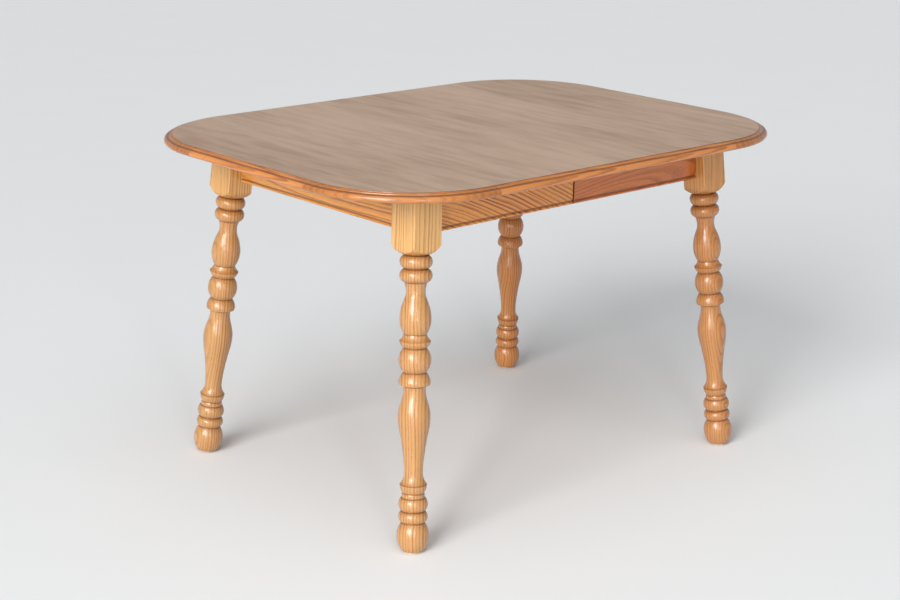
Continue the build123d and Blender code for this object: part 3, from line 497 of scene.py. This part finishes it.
def chipboard_finish():
    """Pressed wood chips."""
    panel = Finish("chipboard_core")
    warp = panel.noise(panel.scaled(panel.place, (90.0, 90.0, 90.0)), detail=1.0)
    shifted = panel.node(
        "ShaderNodeVectorMath", {"operation": "MULTIPLY_ADD"},
        {0: panel.place, 1: (260.0, 420.0, 900.0), 2: warp.output("Color")},
    )
    chips = panel.node("ShaderNodeTexVoronoi", {"feature": "F1"}, {"Vector": shifted, "Scale": 1.0})
    tint = panel.node("ShaderNodeSeparateColor", {}, {0: chips.output("Color")})
    body = panel.mix(tint, srgb(178, 146, 104), srgb(214, 184, 140))
    body = panel.mix(panel.smooth(tint.output(1), 0.7, 0.95) * 0.6, body, srgb(126, 92, 58))
    body = panel.mix(panel.smooth(chips, 0.45, 0.8) * 0.5, body, srgb(112, 84, 54))
    return panel.shade(body, 0.78 + 0.1 * tint, tint * 0.5 - chips, 0.00015)


def plated_finish(name, chip, rough):
    """Zinc plate with drawn marks and a faint bloom."""
    metal = Finish(name)
    bloom = metal.noise(metal.scaled(metal.place, (160.0, 160.0, 160.0)), detail=3.0)
    marks = metal.noise(metal.scaled(metal.place, (2600.0, 240.0, 900.0)), detail=2.0)
    shift = tinted(srgb(*chip), (0.86, 0.83, 0.7))
    body = metal.mix(metal.smooth(bloom, 0.45, 0.75) * 0.6, srgb(*chip), shift)
    body = metal.mix(metal.smooth(marks, 0.62, 0.8) * 0.3, body, srgb(110, 108, 102))
    return metal.shade(
        body, rough + 0.2 * bloom + 0.08 * marks, marks * 0.5 + bloom * 0.5, 0.00003, metallic=1.0
    )


def nylon_finish(name, chip, dirt):
    """Moulded nylon with dirt in a faint mottle, as it gathers where it rubs."""
    plastic = Finish(name)
    mottle = plastic.noise(plastic.scaled(plastic.place, (240.0, 240.0, 240.0)), detail=3.0)
    flow = plastic.noise(plastic.scaled(plastic.place, (40.0, 40.0, 700.0)), detail=1.0)
    body = plastic.mix(plastic.smooth(mottle, 0.4, 0.7) * 0.5, srgb(*chip), srgb(*dirt))
    rough = 0.42 + 0.14 * mottle
    return plastic.shade(body, rough, mottle * 0.5 + flow * 0.5, 0.00005, specular_ior_level=0.45)


# ---------------------------------------------------------------- stage
class TABLE_OT_stage(bpy.types.Operator):
    """Pale floor, softboxes and the camera"""

    bl_idname = "table.stage"
    bl_label = "Stage"

    def execute(self, context):
        studio = context.scene.table_studio
        self.camera(context, studio)
        floor_mesh = bpy.data.meshes.new("studio_floor")
        shape = bmesh.new()
        bmesh.ops.create_circle(shape, cap_ends=True, segments=96, radius=60.0)
        shape.to_mesh(floor_mesh)
        shape.free()
        floor = new_object("studio_floor", floor_mesh)
        paper = Finish("studio_paper")
        grain = paper.noise(paper.scaled(paper.place, (3.0, 3.0, 3.0)), detail=4.0)
        tone = paper.mix(grain, studio.floor, darker(studio.floor, 0.97))
        floor_mesh.materials.append(paper.shade(tone, 0.75 + 0.1 * grain))
        self.lights(context, studio)
        return {"FINISHED"}

    def camera(self, context, studio):
        """Camera by its place, heading, dip and roll."""
        heading, dip, roll = studio.heading, studio.dip, studio.roll
        ahead = Vector((
            math.cos(heading) * math.cos(dip), math.sin(heading) * math.cos(dip), -math.sin(dip)
        ))
        level = Vector((math.sin(heading), -math.cos(heading), 0))
        over = level.cross(ahead)
        right = level * math.cos(roll) + over * math.sin(roll)
        up = over * math.cos(roll) - level * math.sin(roll)
        data = bpy.data.cameras.new("studio_camera")
        data.sensor_width = 36.0
        data.lens = studio.lens
        data.clip_end = 200.0
        camera = bpy.data.objects.new("studio_camera", data)
        turn = Matrix((right, up, -ahead)).transposed().to_4x4()
        camera.matrix_world = Matrix.Translation(studio.camera_place) @ turn
        context.scene.collection.objects.link(camera)
        context.scene.camera = camera

    def lamp(self, context, name, kind, aim, energy, **settings):
        """One light that shines along a direction."""
        data = bpy.data.lights.new(name, kind)
        data.energy = energy
        for key, value in settings.items():
            setattr(data, key, value)
        lamp = bpy.data.objects.new(name, data)
        lamp.rotation_euler = aim.to_track_quat("-Z", "Y").to_euler()
        context.scene.collection.objects.link(lamp)
        return lamp

    def lights(self, context, studio):
        """Broad light from the side and above, two softboxes and even room light."""
        context.scene.view_settings.view_transform = "Standard"
        target = Vector((0, 0, TOP_HIGH.z * 0.6))
        # Place, width, height and share of the key power.
        boxes = {
            "key_softbox": ((-4.2, -2.5, 1.5), 0.7, 2.6, 1.0),
            "fill_softbox": ((-2.4, -4.1, 1.5), 0.5, 2.6, 0.6),
        }
        for name, (place, width, height, share) in boxes.items():
            self.lamp(
                context, name, "AREA", target - Vector(place), studio.key_power * share,
                shape="RECTANGLE", size=width, size_y=height,
            ).location = place
        # Direction, angle it seems to fill, in degrees, and share of the window light.
        suns = {
            "window_light": ((0.85, 0.27, -0.46), 30, 1.0),
            "sky_light": ((0.3, 0.3, -0.9), 70, 0.38),
        }
        for name, (aim, spread, share) in suns.items():
            self.lamp(
                context, name, "SUN", Vector(aim), studio.sun_strength * share,
                angle=math.radians(spread),
            )
        world = bpy.data.worlds.new("studio_room")
        world.use_nodes = True
        room = Wiring(world.node_tree)
        room.tree.nodes.clear()
        sky = room.node("ShaderNodeTexCoord", output="Generated")
        height = room.node("ShaderNodeSeparateXYZ", {}, {0: sky}, output="Z")
        share = room.node("ShaderNodeMapRange", {}, {"Value": height, "From Max": 0.8})
        colour = room.node("ShaderNodeMix", {"data_type": "RGBA"}, {
            0: share, 6: (*srgb(246, 249, 252), 1.0), 7: (*srgb(212, 216, 222), 1.0),
        }, 2)
        seen = room.node("ShaderNodeLightPath", output="Is Camera Ray")
        strength = studio.room_light + seen * (studio.backdrop - studio.room_light)
        glow = room.node("ShaderNodeBackground", {}, {"Color": colour, "Strength": strength})
        room.node("ShaderNodeOutputWorld", {}, {"Surface": glow})
        context.scene.world = world


# ---------------------------------------------------------------- top
class TABLE_OT_laminate(bpy.types.Operator):
    """Laminate, core boards and the dowels that line up the seam"""

    bl_idname = "table.laminate"
    bl_label = "Laminate and core"

    def execute(self, context):
        sheet = laminate_finish()
        panel = chipboard_finish()
        for side in SIDES:
            paint(f"{side}_laminate", sheet)
            paint(f"{side}_top_core", panel)
        dowel = timber(
            "beech_dowel", (0, -TABLE_SIDE, TOP_LOW.z - 0.03), (1, 0, 0), srgb(222, 190, 146),
            srgb(176, 134, 88), 0.0016, contrast=0.35, pores=0.4, bare=True,
        )
        paint("seam_dowels", dowel)
        return {"FINISHED"}


def edging_recipe():
    """Runs a section along a path and softens its arrises."""
    recipe = Recipe("Edging run", {
        "Geometry": "Geometry", "Section": "Object", "Easing": "Float", "Finish": "Material",
    })
    path = recipe.node("GeometryNodeMeshToCurve", {}, {"Mesh": recipe.input("Geometry")})
    upright = recipe.node("GeometryNodeSetCurveNormal", {"mode": "Z_UP"}, {"Curve": path})
    info = recipe.node(
        "GeometryNodeObjectInfo", {}, {"Object": recipe.input("Section")}, output="Geometry"
    )
    outline = recipe.node("GeometryNodeMeshToCurve", {}, {"Mesh": info})
    eased = recipe.node(
        "GeometryNodeFilletCurve", {"mode": "POLY"},
        {"Curve": outline, "Count": 2, "Radius": recipe.input("Easing"), "Limit Radius": True},
    )
    solid = recipe.node(
        "GeometryNodeCurveToMesh", {},
        {"Curve": upright, "Profile Curve": eased, "Fill Caps": True},
    )
    return recipe.finish(solid)


def arc(start, middle, end, count):
    """Points of the arc through three points, without its start."""
    (ax, ay), (bx, by), (cx, cy) = start, middle, end
    d = 2 * (ax * (by - cy) + bx * (cy - ay) + cx * (ay - by))
    a, b, c = ax * ax + ay * ay, bx * bx + by * by, cx * cx + cy * cy
    x = (a * (by - cy) + b * (cy - ay) + c * (ay - by)) / d
    y = (a * (cx - bx) + b * (ax - cx) + c * (bx - ax)) / d
    radius = math.hypot(ax - x, ay - y)
    first = math.atan2(ay - y, ax - x)
    through = math.atan2(by - y, bx - x)
    last = math.atan2(cy - y, cx - x)
    sweep = (last - first) % math.tau
    if (through - first) % math.tau > sweep:
        sweep -= math.tau
    angles = [first + sweep * k / count for k in range(1, count + 1)]
    return [(x + radius * math.cos(t), y + radius * math.sin(t)) for t in angles]


def ring_mesh(name, points, closed):
    """Edges through points."""
    count = len(points)
    edges = [(k, (k + 1) % count) for k in range(count if closed else count - 1)]
    mesh = bpy.data.meshes.new(name)
    mesh.from_pydata(points, edges, [])
    return mesh


def edging_section(sizes):
    """Section of the edging: X outward from the nose, Y down from the laminate's face."""
    inset = TABLE_END + TOP_LOW.x
    band = TABLE_END + CORE_LOW.x
    depth = TOP_HIGH.z - CORE_LOW.z
    gauge = TOP_HIGH.z - TOP_LOW.z
    bend = math.sqrt(0.5)
    flat_end = inset - sizes.flat
    cove_top = sizes.step + sizes.fall
    cove_foot = cove_top + sizes.cove
    cove_end = flat_end - sizes.cove
    points = [
        (-sizes.undercut, depth), (-band, depth), (-band, gauge), (-inset, gauge),
        (-inset, sizes.step), (-flat_end, cove_top),
    ]
    hollow = (-cove_end - sizes.cove * bend, cove_top + sizes.cove * bend)
    points += arc(points[-1], hollow, (-cove_end, cove_foot), 7)
    swell = (-cove_end * (1 - bend), sizes.nose - (sizes.nose - cove_foot) * bend)
    points += arc(points[-1], swell, (0.0, sizes.nose), 14)
    turn_in = (-sizes.undercut * (1 - bend), sizes.nose + (depth - sizes.nose) * bend)
    points += arc(points[-1], turn_in, (-sizes.undercut, depth), 10)[:-1]
    outline = ring_mesh("edging_section", [(*point, 0.0) for point in points], True)
    return new_object("edging_section", outline)


class TABLE_OT_edging(bpy.types.Operator):
    """Ten moulded lengths of solid edging round the top"""

    bl_idname = "table.edging"
    bl_label = "Edging"

    def execute(self, context):
        self.sizes = context.scene.table_edging
        self.recipe = edging_recipe()
        self.section = edging_section(self.sizes)
        level = TOP_HIGH.z
        radius = self.sizes.corner
        tail = TABLE_END - radius - SIDE_REACH
        for side_name, side in SIDES.items():
            self.length(context, f"{side_name}_end_edging", side_name, [
                (side * TABLE_END, side * k * END_REACH, level) for k in (-1, 1)
            ])
            for row_name, row in ROWS.items():
                self.length(context, f"{side_name}_{row_name}_edging", side_name, [
                    (side * reach, row * TABLE_SIDE, level) for reach in (SEAM, SIDE_REACH)
                ])
                centre = Vector((side * (TABLE_END - radius), row * (TABLE_SIDE - radius), level))
                angles = [math.pi / 2 * k / CORNER_STEPS for k in range(CORNER_STEPS + 1)]
                bend = [
                    centre + Vector((side * math.sin(t), row * math.cos(t), 0)) * radius
                    for t in angles
                ]
                first = bend[0] - Vector((side * tail, 0, 0))
                last = bend[-1] - Vector((0, row * tail, 0))
                self.length(
                    context, f"{side_name}_{row_name}_corner_edging", side_name,
                    [first, *bend, last],
                )
        bpy.data.objects.remove(self.section)
        return {"FINISHED"}

    def length(self, context, node, side_name, path):
        """One length, run so that the outside of the table lies to the right of its path."""
        finish = context.scene.table_finish
        path = [Vector(point) for point in path]
        drawn_in = (TABLE_END - NOSE_ROOM) / TABLE_END
        path = [Vector((p.x * drawn_in, p.y * drawn_in, p.z)) for p in path]
        if path[0].cross(path[-1]).z < 0:
            path.reverse()
        along = (path[-1] - path[0]).normalized()
        out = Vector((along.y, -along.x, 0))
        middle = (path[0] + path[-1]) / 2
        corner = "corner" in node
        # Painted shade: the corner lengths take darker light and dark colours than the straight
        # lengths.
        stain = CORNER_PAINTED_SHADE if corner else 1.0
        light, dark = darker(finish.edging_light, stain), darker(finish.edging_dark, stain)
        # The pith passes inside and below the edging, so its lines run long.
        pierce = middle + along * 0.3 - out * 0.02 - Vector((0, 0, 0.03))
        sizes = self.sizes
        quirk = TOP_HIGH.z - sizes.step - sizes.fall - sizes.cove * 0.8
        material = board(
            f"oak_{node}", pierce, along, 0.6, 1.6, out, light, dark,
            contrast=0.35 if corner else 0.6, width=1.7 if corner else 1.0,
            quirks=(UP, (quirk,), COVE_REACH),
        )
        piece = self.recipe.run(
            f"{node}_moulding", ring_mesh(node, path, False), Section=self.section,
            Easing=sizes.easing, Finish=material,
        )
        smooth_shading(piece.data, 32)
        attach(piece, HALF[side_name])
        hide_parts(node)


# ---------------------------------------------------------------- aprons, legs and blocks
class TABLE_OT_aprons(bpy.types.Operator):
    """Six flat-sawn apron boards"""

    bl_idname = "table.aprons"
    bl_label = "Aprons"

    def execute(self, context):
        finish = context.scene.table_finish
        light, dark = finish.apron_light, finish.apron_dark
        # Where the pith line pierces each board's face: along the board and up, as shares of the
        # board; how it climbs along the board and how steeply it leaves the face, in degrees;
        # the width of its rings and how much they wander, as shares of the usual; how strong
        # they are; and a tint, partly the board's own tone and partly painted light and shade:
        # lighter on the left end board, darker on the right front board.
        figures = {
            "left_front_apron": ((-0.04, -0.25), -14, 20, 1.25, 1.1, 0.8, (1.1, 0.95, 0.7)),
            "right_front_apron": ((-0.3, -0.6), 10, 7, 1.3, 0.6, 0.4, (0.86, 0.53, 0.34)),
            "left_back_apron": ((0.3, 0.4), 6, 12, 1.1, 1.4, 0.6, (0.9, 0.84, 0.8)),
            "right_back_apron": ((0.8, 0.5), -8, 10, 1.0, 1.2, 0.6, (1.0, 1.0, 1.0)),
            "left_end_apron": ((0.15, 0.5), -1, 5, 1.9, 0.6, 0.6, (1.22, 1.16, 0.92)),
            "right_end_apron": ((0.55, 0.4), 4, 6, 1.1, 1.3, 0.6, (1.0, 0.96, 0.9)),
        }
        for node, (pierced, climb, lean, width, wave, contrast, tint) in figures.items():
            along, up = pierced
            low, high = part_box(node)
            side = -1 if node.startswith("left") else 1
            if "end" in node:
                run, out = Vector((0, 1, 0)), Vector((side, 0, 0))
                x = low.x if side < 0 else high.x
                pierce = Vector((x, low.y + (high.y - low.y) * along, 0))
            else:
                row = -1 if "front" in node else 1
                run, out = Vector((1, 0, 0)), Vector((0, row, 0))
                y = low.y if row < 0 else high.y
                pierce = Vector((low.x + (high.x - low.x) * along, y, 0))
            pierce.z = low.z + (high.z - low.z) * up
            paint(node, board(
                f"oak_{node}", pierce, run, climb, lean, -out, tinted(light, tint),
                tinted(dark, tint), contrast, width, wave,
                (UP, (low.z + APRON_GROOVE,), GROOVE_REACH),
            ))
        return {"FINISHED"}


def leg_axis(node):
    """Middle of a leg's sole and of its top."""
    points = [vert.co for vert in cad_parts[node].data.vertices]
    ends = []
    for level in (min(p.z for p in points), max(p.z for p in points)):
        ring = [p for p in points if abs(p.z - level) < 1e-4]
        ends.append(Vector((
            (min(p.x for p in ring) + max(p.x for p in ring)) / 2,
            (min(p.y for p in ring) + max(p.y for p in ring)) / 2, level,
        )))
    return ends


class TABLE_OT_legs(bpy.types.Operator):
    """Four turned legs, each from its own piece of straight oak, and their nailed glides"""

    bl_idname = "table.legs"
    bl_label = "Legs"

    def execute(self, context):
        finish = context.scene.table_finish
        # Direction from the leg's axis to the heart of its log, the distance, and its tint.
        # The tints are partly the wood's own tone and partly painted shade, darkest on the two
        # right legs.
        hearts = {
            "left_front_leg": ((-0.86, 0.56), 0.13, (1.0, 1.0, 1.0)),
            "right_front_leg": ((0.12, -1.0), 0.075, (0.88, 0.73, 0.6)),
            "left_back_leg": ((-1.0, 0.14), 0.09, (0.95, 0.9, 0.82)),
            "right_back_leg": ((0.8, -0.6), 0.12, (1.0, 0.78, 0.56)),
        }
        for node, ((x, y), reach, tint) in hearts.items():
            foot, head = leg_axis(node)
            along = (head - foot).normalized()
            heart = Vector((x, y, 0)).normalized() * reach
            base = foot.dot(along)
            heights = [base + height for height in TURNING_QUIRKS]
            paint(node, timber(
                f"oak_{node}", head + heart, along, tinted(finish.oak_light, tint),
                tinted(finish.oak_dark, tint), finish.ring_width, contrast=0.62, wave=1.5,
                quirks=(along, heights, QUIRK_REACH), turned=foot.z + TURNING_QUIRKS[-1],
            ))
        glide = nylon_finish("glide_nylon", (226, 218, 198), (176, 160, 134))
        for side in SIDES:
            paint(f"{side}_foot_glides", glide)
        return {"FINISHED"}


class TABLE_OT_corner_blocks(bpy.types.Operator):
    """Bare hardwood blocks across the corners of the aprons"""

    bl_idname = "table.corner_blocks"
    bl_label = "Corner blocks"

    def execute(self, context):
        for side_name, side in SIDES.items():
            for row_name, row in ROWS.items():
                node = f"{side_name}_{row_name}_corner_block"
                low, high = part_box(node)
                middle = (low + high) / 2
                pith = middle + Vector((side * 0.03, row * 0.03, 0.05))
                paint(node, timber(
                    f"beech_{node}", pith, (side, -row, 0.05), srgb(214, 178, 130),
                    srgb(168, 122, 78), 0.0032, contrast=0.5, pores=0.5, bare=True,
                ))
        return {"FINISHED"}


# ---------------------------------------------------------------- rails, gears and locks
class TABLE_OT_rails(bpy.types.Operator):
    """Two runs of three hardwood rails with nylon racks and pinions"""

    bl_idname = "table.rails"
    bl_label = "Extension rails"

    def execute(self, context):
        gear = nylon_finish("gear_nylon", (232, 228, 214), (206, 196, 170))
        for row_name, row in ROWS.items():
            for place, kind in enumerate(("fixed", "middle", "moving")):
                node = f"{row_name}_{kind}_rail"
                low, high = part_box(node)
                across = (low.y + high.y) / 2 + row * 0.05
                pith = (0.1 * place, across, low.z - 0.02 - 0.015 * place)
                paint(node, timber(
                    f"maple_{node}", pith, (1, 0.02 * (place - 1), 0.012 * row),
                    srgb(212, 176, 128), srgb(164, 120, 76), 0.0026, contrast=0.45, pores=0.35,
                    bare=True,
                ))
            for kind in ("fixed_rack", "moving_rack", "pinion"):
                paint(f"{row_name}_{kind}", gear)
        return {"FINISHED"}


class TABLE_OT_locks(bpy.types.Operator):
    """Plated levers, pivots and studs that hold the closed halves together"""

    bl_idname = "table.locks"
    bl_label = "Table locks"

    def execute(self, context):
        plate = plated_finish("zinc_plate", (196, 194, 186), 0.3)
        for row in ROWS:
            for kind in ("plate", "keeper", "lever"):
                paint(f"{row}_lock_{kind}", plate)
        return {"FINISHED"}


# ---------------------------------------------------------------- fasteners
def fasteners(node):
    """Head, direction and length of each fastener in a CAD node."""
    shape = bmesh.new()
    shape.from_mesh(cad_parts[node].data)
    bmesh.ops.remove_doubles(shape, verts=shape.verts, dist=1e-6)
    left = set(shape.verts)
    found = []
    while left:
        island, edge = set(), [next(iter(left))]
        while edge:
            vert = edge.pop()
            if vert in island:
                continue
            island.add(vert)
            edge += [e.other_vert(vert) for e in vert.link_edges]
        left -= island
        points = [vert.co.copy() for vert in island]
        middle = sum(points, Vector()) / len(points)
        far = max(points, key=lambda p: (p - middle).length)
        tip_ring = [p for p in points if (p - far).length < 0.0012]
        guess = (sum(tip_ring, Vector()) / len(tip_ring) - middle).normalized()
        ends = [(p - middle).dot(guess) for p in points]
        head_ring = [p for p, t in zip(points, ends) if t < min(ends) + 0.0004]
        foot_ring = [p for p, t in zip(points, ends) if t > max(ends) - 0.0004]
        head = sum(head_ring, Vector()) / len(head_ring)
        foot = sum(foot_ring, Vector()) / len(foot_ring)
        found.append((head, (foot - head).normalized(), (foot - head).length))
    shape.free()
    return sorted(found, key=lambda item: tuple(round(v, 5) for v in item[0]))


def point_mesh(name, items):
    """Points with the direction of each fastener."""
    mesh = bpy.data.meshes.new(name)
    mesh.from_pydata([head for head, _, _ in items], [], [])
    attribute = mesh.attributes.new("direction", "FLOAT_VECTOR", "POINT")
    attribute.data.foreach_set("vector", [v for _, aim, _ in items for v in aim])
    return mesh


class FastenerRecipe(Recipe):
    """Shared parts of the screw and the bolt."""

    def thread(self, radius, depth, start, length, pitch):
        """Helical ridge of three-sided section."""
        helix = self.node("GeometryNodeCurveSpiral", {}, {
            "Resolution": 14, "Rotations": length / pitch, "Start Radius": radius - depth * 0.5,
            "End Radius": radius - depth * 0.5, "Height": length,
        })
        ridge = self.node(
            "GeometryNodeCurvePrimitiveCircle", {}, {"Resolution": 3, "Radius": depth}
        )
        tube = self.node(
            "GeometryNodeCurveToMesh", {},
            {"Curve": helix, "Profile Curve": ridge, "Fill Caps": True},
        )
        return self.moved(tube, start)

    def cone(self, low_radius, high_radius, depth, start, sides=20):
        solid = self.node("GeometryNodeMeshCone", {}, {
            "Vertices": sides, "Radius Bottom": low_radius, "Radius Top": high_radius,
            "Depth": depth,
        })
        return self.moved(solid, start)

    def placed(self, single):
        """One copy at each point, turned along its direction."""
        aim = self.node(
            "GeometryNodeInputNamedAttribute", {"data_type": "FLOAT_VECTOR"}, {"Name": "direction"}
        )
        turn = self.node("FunctionNodeAlignRotationToVector", {"axis": "Z"}, {"Vector": aim})
        copies = self.node("GeometryNodeInstanceOnPoints", {}, {
            "Points": self.input("Geometry"), "Instance": single, "Rotation": turn,
        })
        return self.finish(copies)


def screw_recipe():
    """Countersunk wood screw with a cross recess and a coarse thread."""
    recipe = FastenerRecipe("Wood screw", {
        "Geometry": "Geometry", "Length": "Float", "Head Radius": "Float",
        "Head Height": "Float", "Shank Radius": "Float", "Pitch": "Float", "Tip": "Float",
        "Finish": "Material",
    })
    length, shank = recipe.input("Length"), recipe.input("Shank Radius")
    head_height, tip = recipe.input("Head Height"), recipe.input("Tip")
    core = shank * 0.72
    cross = []
    for wide, deep in ((1.25, 0.24), (0.24, 1.25)):
        size = recipe.node("ShaderNodeCombineXYZ", {}, {
            "X": recipe.input("Head Radius") * wide, "Y": recipe.input("Head Radius") * deep,
            "Z": head_height,
        })
        cross.append(recipe.node("GeometryNodeMeshCube", {}, {"Size": size}))
    solid_head = recipe.cone(recipe.input("Head Radius"), shank, head_height, 0.0, 28)
    head = recipe.node(
        "GeometryNodeMeshBoolean", {"operation": "DIFFERENCE", "solver": "EXACT"},
        {"Mesh 1": solid_head, "Mesh 2": recipe.join(*cross)},
    )
    shank_end = length * 0.4
    neck = recipe.cone(shank * 0.9, shank * 0.9, shank_end - head_height * 0.9, head_height * 0.9)
    body = recipe.cone(core, core, length - tip - shank_end, shank_end)
    point = recipe.cone(core, 0.0, tip, length - tip)
    thread = recipe.thread(
        shank, shank * 0.28, shank_end, length - tip - shank_end, recipe.input("Pitch")
    )
    return recipe.placed(recipe.join(head, neck, body, point, thread))


def bolt_recipe():
    """Headless hanger bolt, threaded from end to end."""
    recipe = FastenerRecipe("Hanger bolt", {
        "Geometry": "Geometry", "Length": "Float", "Radius": "Float", "Pitch": "Float",
        "Finish": "Material",
    })
    length, radius, pitch = (recipe.input(name) for name in ("Length", "Radius", "Pitch"))
    depth = radius * 0.16
    core = radius - depth
    bevel = depth * 2
    body = recipe.cone(core, core, length - 2 * bevel, bevel, 24)
    ends = [
        recipe.cone(core - depth, core, bevel, 0.0, 24),
        recipe.cone(core, core - depth, bevel, length - bevel, 24),
    ]
    thread = recipe.thread(radius - depth * 0.5, depth, bevel, length - 2 * bevel, pitch)
    return recipe.placed(recipe.join(body, *ends, thread))


class TABLE_OT_fasteners(bpy.types.Operator):
    """Wood screws, hanger bolts, washers and wing nuts"""

    bl_idname = "table.fasteners"
    bl_label = "Screws and bolts"

    def execute(self, context):
        sizes = context.scene.table_fasteners
        steel = plated_finish("screw_steel", (190, 184, 160), 0.34)
        zinc = plated_finish("zinc_hardware", (194, 192, 186), 0.32)
        screw, bolt = screw_recipe(), bolt_recipe()
        for side in SIDES:
            self.group(
                f"{side}_wood_screws", HALF[side], "screw_steel", screw, Finish=steel,
                Head_Radius=sizes.head_radius, Head_Height=sizes.head_height,
                Shank_Radius=sizes.shank_radius, Pitch=sizes.screw_pitch, Tip=sizes.tip,
            )
            self.group(
                f"{side}_hanger_bolts", HALF[side], "zinc_steel", bolt, Finish=zinc,
                Radius=sizes.bolt_radius, Pitch=sizes.bolt_pitch,
            )
            paint(f"{side}_washers", zinc)
            paint(f"{side}_wing_nuts", zinc)
        return {"FINISHED"}

    def group(self, node, body, slot, recipe, **values):
        """Every fastener of a CAD node, by length, joined as one piece."""
        found = fasteners(node)
        whole = bmesh.new()
        for length in sorted({round(item[2], 4) for item in found}):
            alike = [item for item in found if round(item[2], 4) == length]
            part = recipe.run(
                f"{node}_{round(length * 1000)}", point_mesh(node, alike), Length=length, **values
            )
            whole.from_mesh(part.data)
            material = part.data.materials[0]
            bpy.data.objects.remove(part)
        mesh = bpy.data.meshes.new(f"{node}_threaded")
        bmesh.ops.recalc_face_normals(whole, faces=whole.faces)
        whole.to_mesh(mesh)
        whole.free()
        mesh.materials.append(material)
        smooth_shading(mesh, 38)
        piece = new_object(f"{node}_threaded", mesh)
        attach(piece, body)
        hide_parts(node)


# ---------------------------------------------------------------- panel and registration
class TABLE_PT_workshop(bpy.types.Panel):
    """Sizes, colours and the operators that make each group of pieces"""

    bl_idname = "TABLE_PT_workshop"
    bl_label = "Extending table"
    bl_space_type = "VIEW_3D"
    bl_region_type = "UI"
    bl_category = "Table"

    def draw(self, context):
        for name in SETTINGS:
            settings = getattr(context.scene, name)
            column = self.layout.column(align=True)
            for key in settings.bl_rna.properties.keys():
                if key not in {"rna_type", "name"}:
                    column.prop(settings, key)
        column = self.layout.column(align=True)
        for operator in OPERATORS:
            column.operator(operator.bl_idname)


SETTINGS = {
    "table_finish": TableFinish,
    "table_edging": EdgingSizes,
    "table_fasteners": FastenerSizes,
    "table_studio": StudioSettings,
}
OPERATORS = (
    TABLE_OT_stage, TABLE_OT_laminate, TABLE_OT_edging, TABLE_OT_aprons, TABLE_OT_legs,
    TABLE_OT_corner_blocks, TABLE_OT_rails, TABLE_OT_locks, TABLE_OT_fasteners,
)
CLASSES = (*SETTINGS.values(), *OPERATORS, TABLE_PT_workshop)


def register():
    for kind in CLASSES:
        bpy.utils.register_class(kind)
    for name, kind in SETTINGS.items():
        setattr(bpy.types.Scene, name, PointerProperty(type=kind))


def unregister():
    for name in SETTINGS:
        delattr(bpy.types.Scene, name)
    for kind in reversed(CLASSES):
        bpy.utils.unregister_class(kind)


def main():
    register()
    for operator in OPERATORS:
        group, verb = operator.bl_idname.split(".")
        getattr(getattr(bpy.ops, group), verb)()


if __name__ == "__main__":
    main()
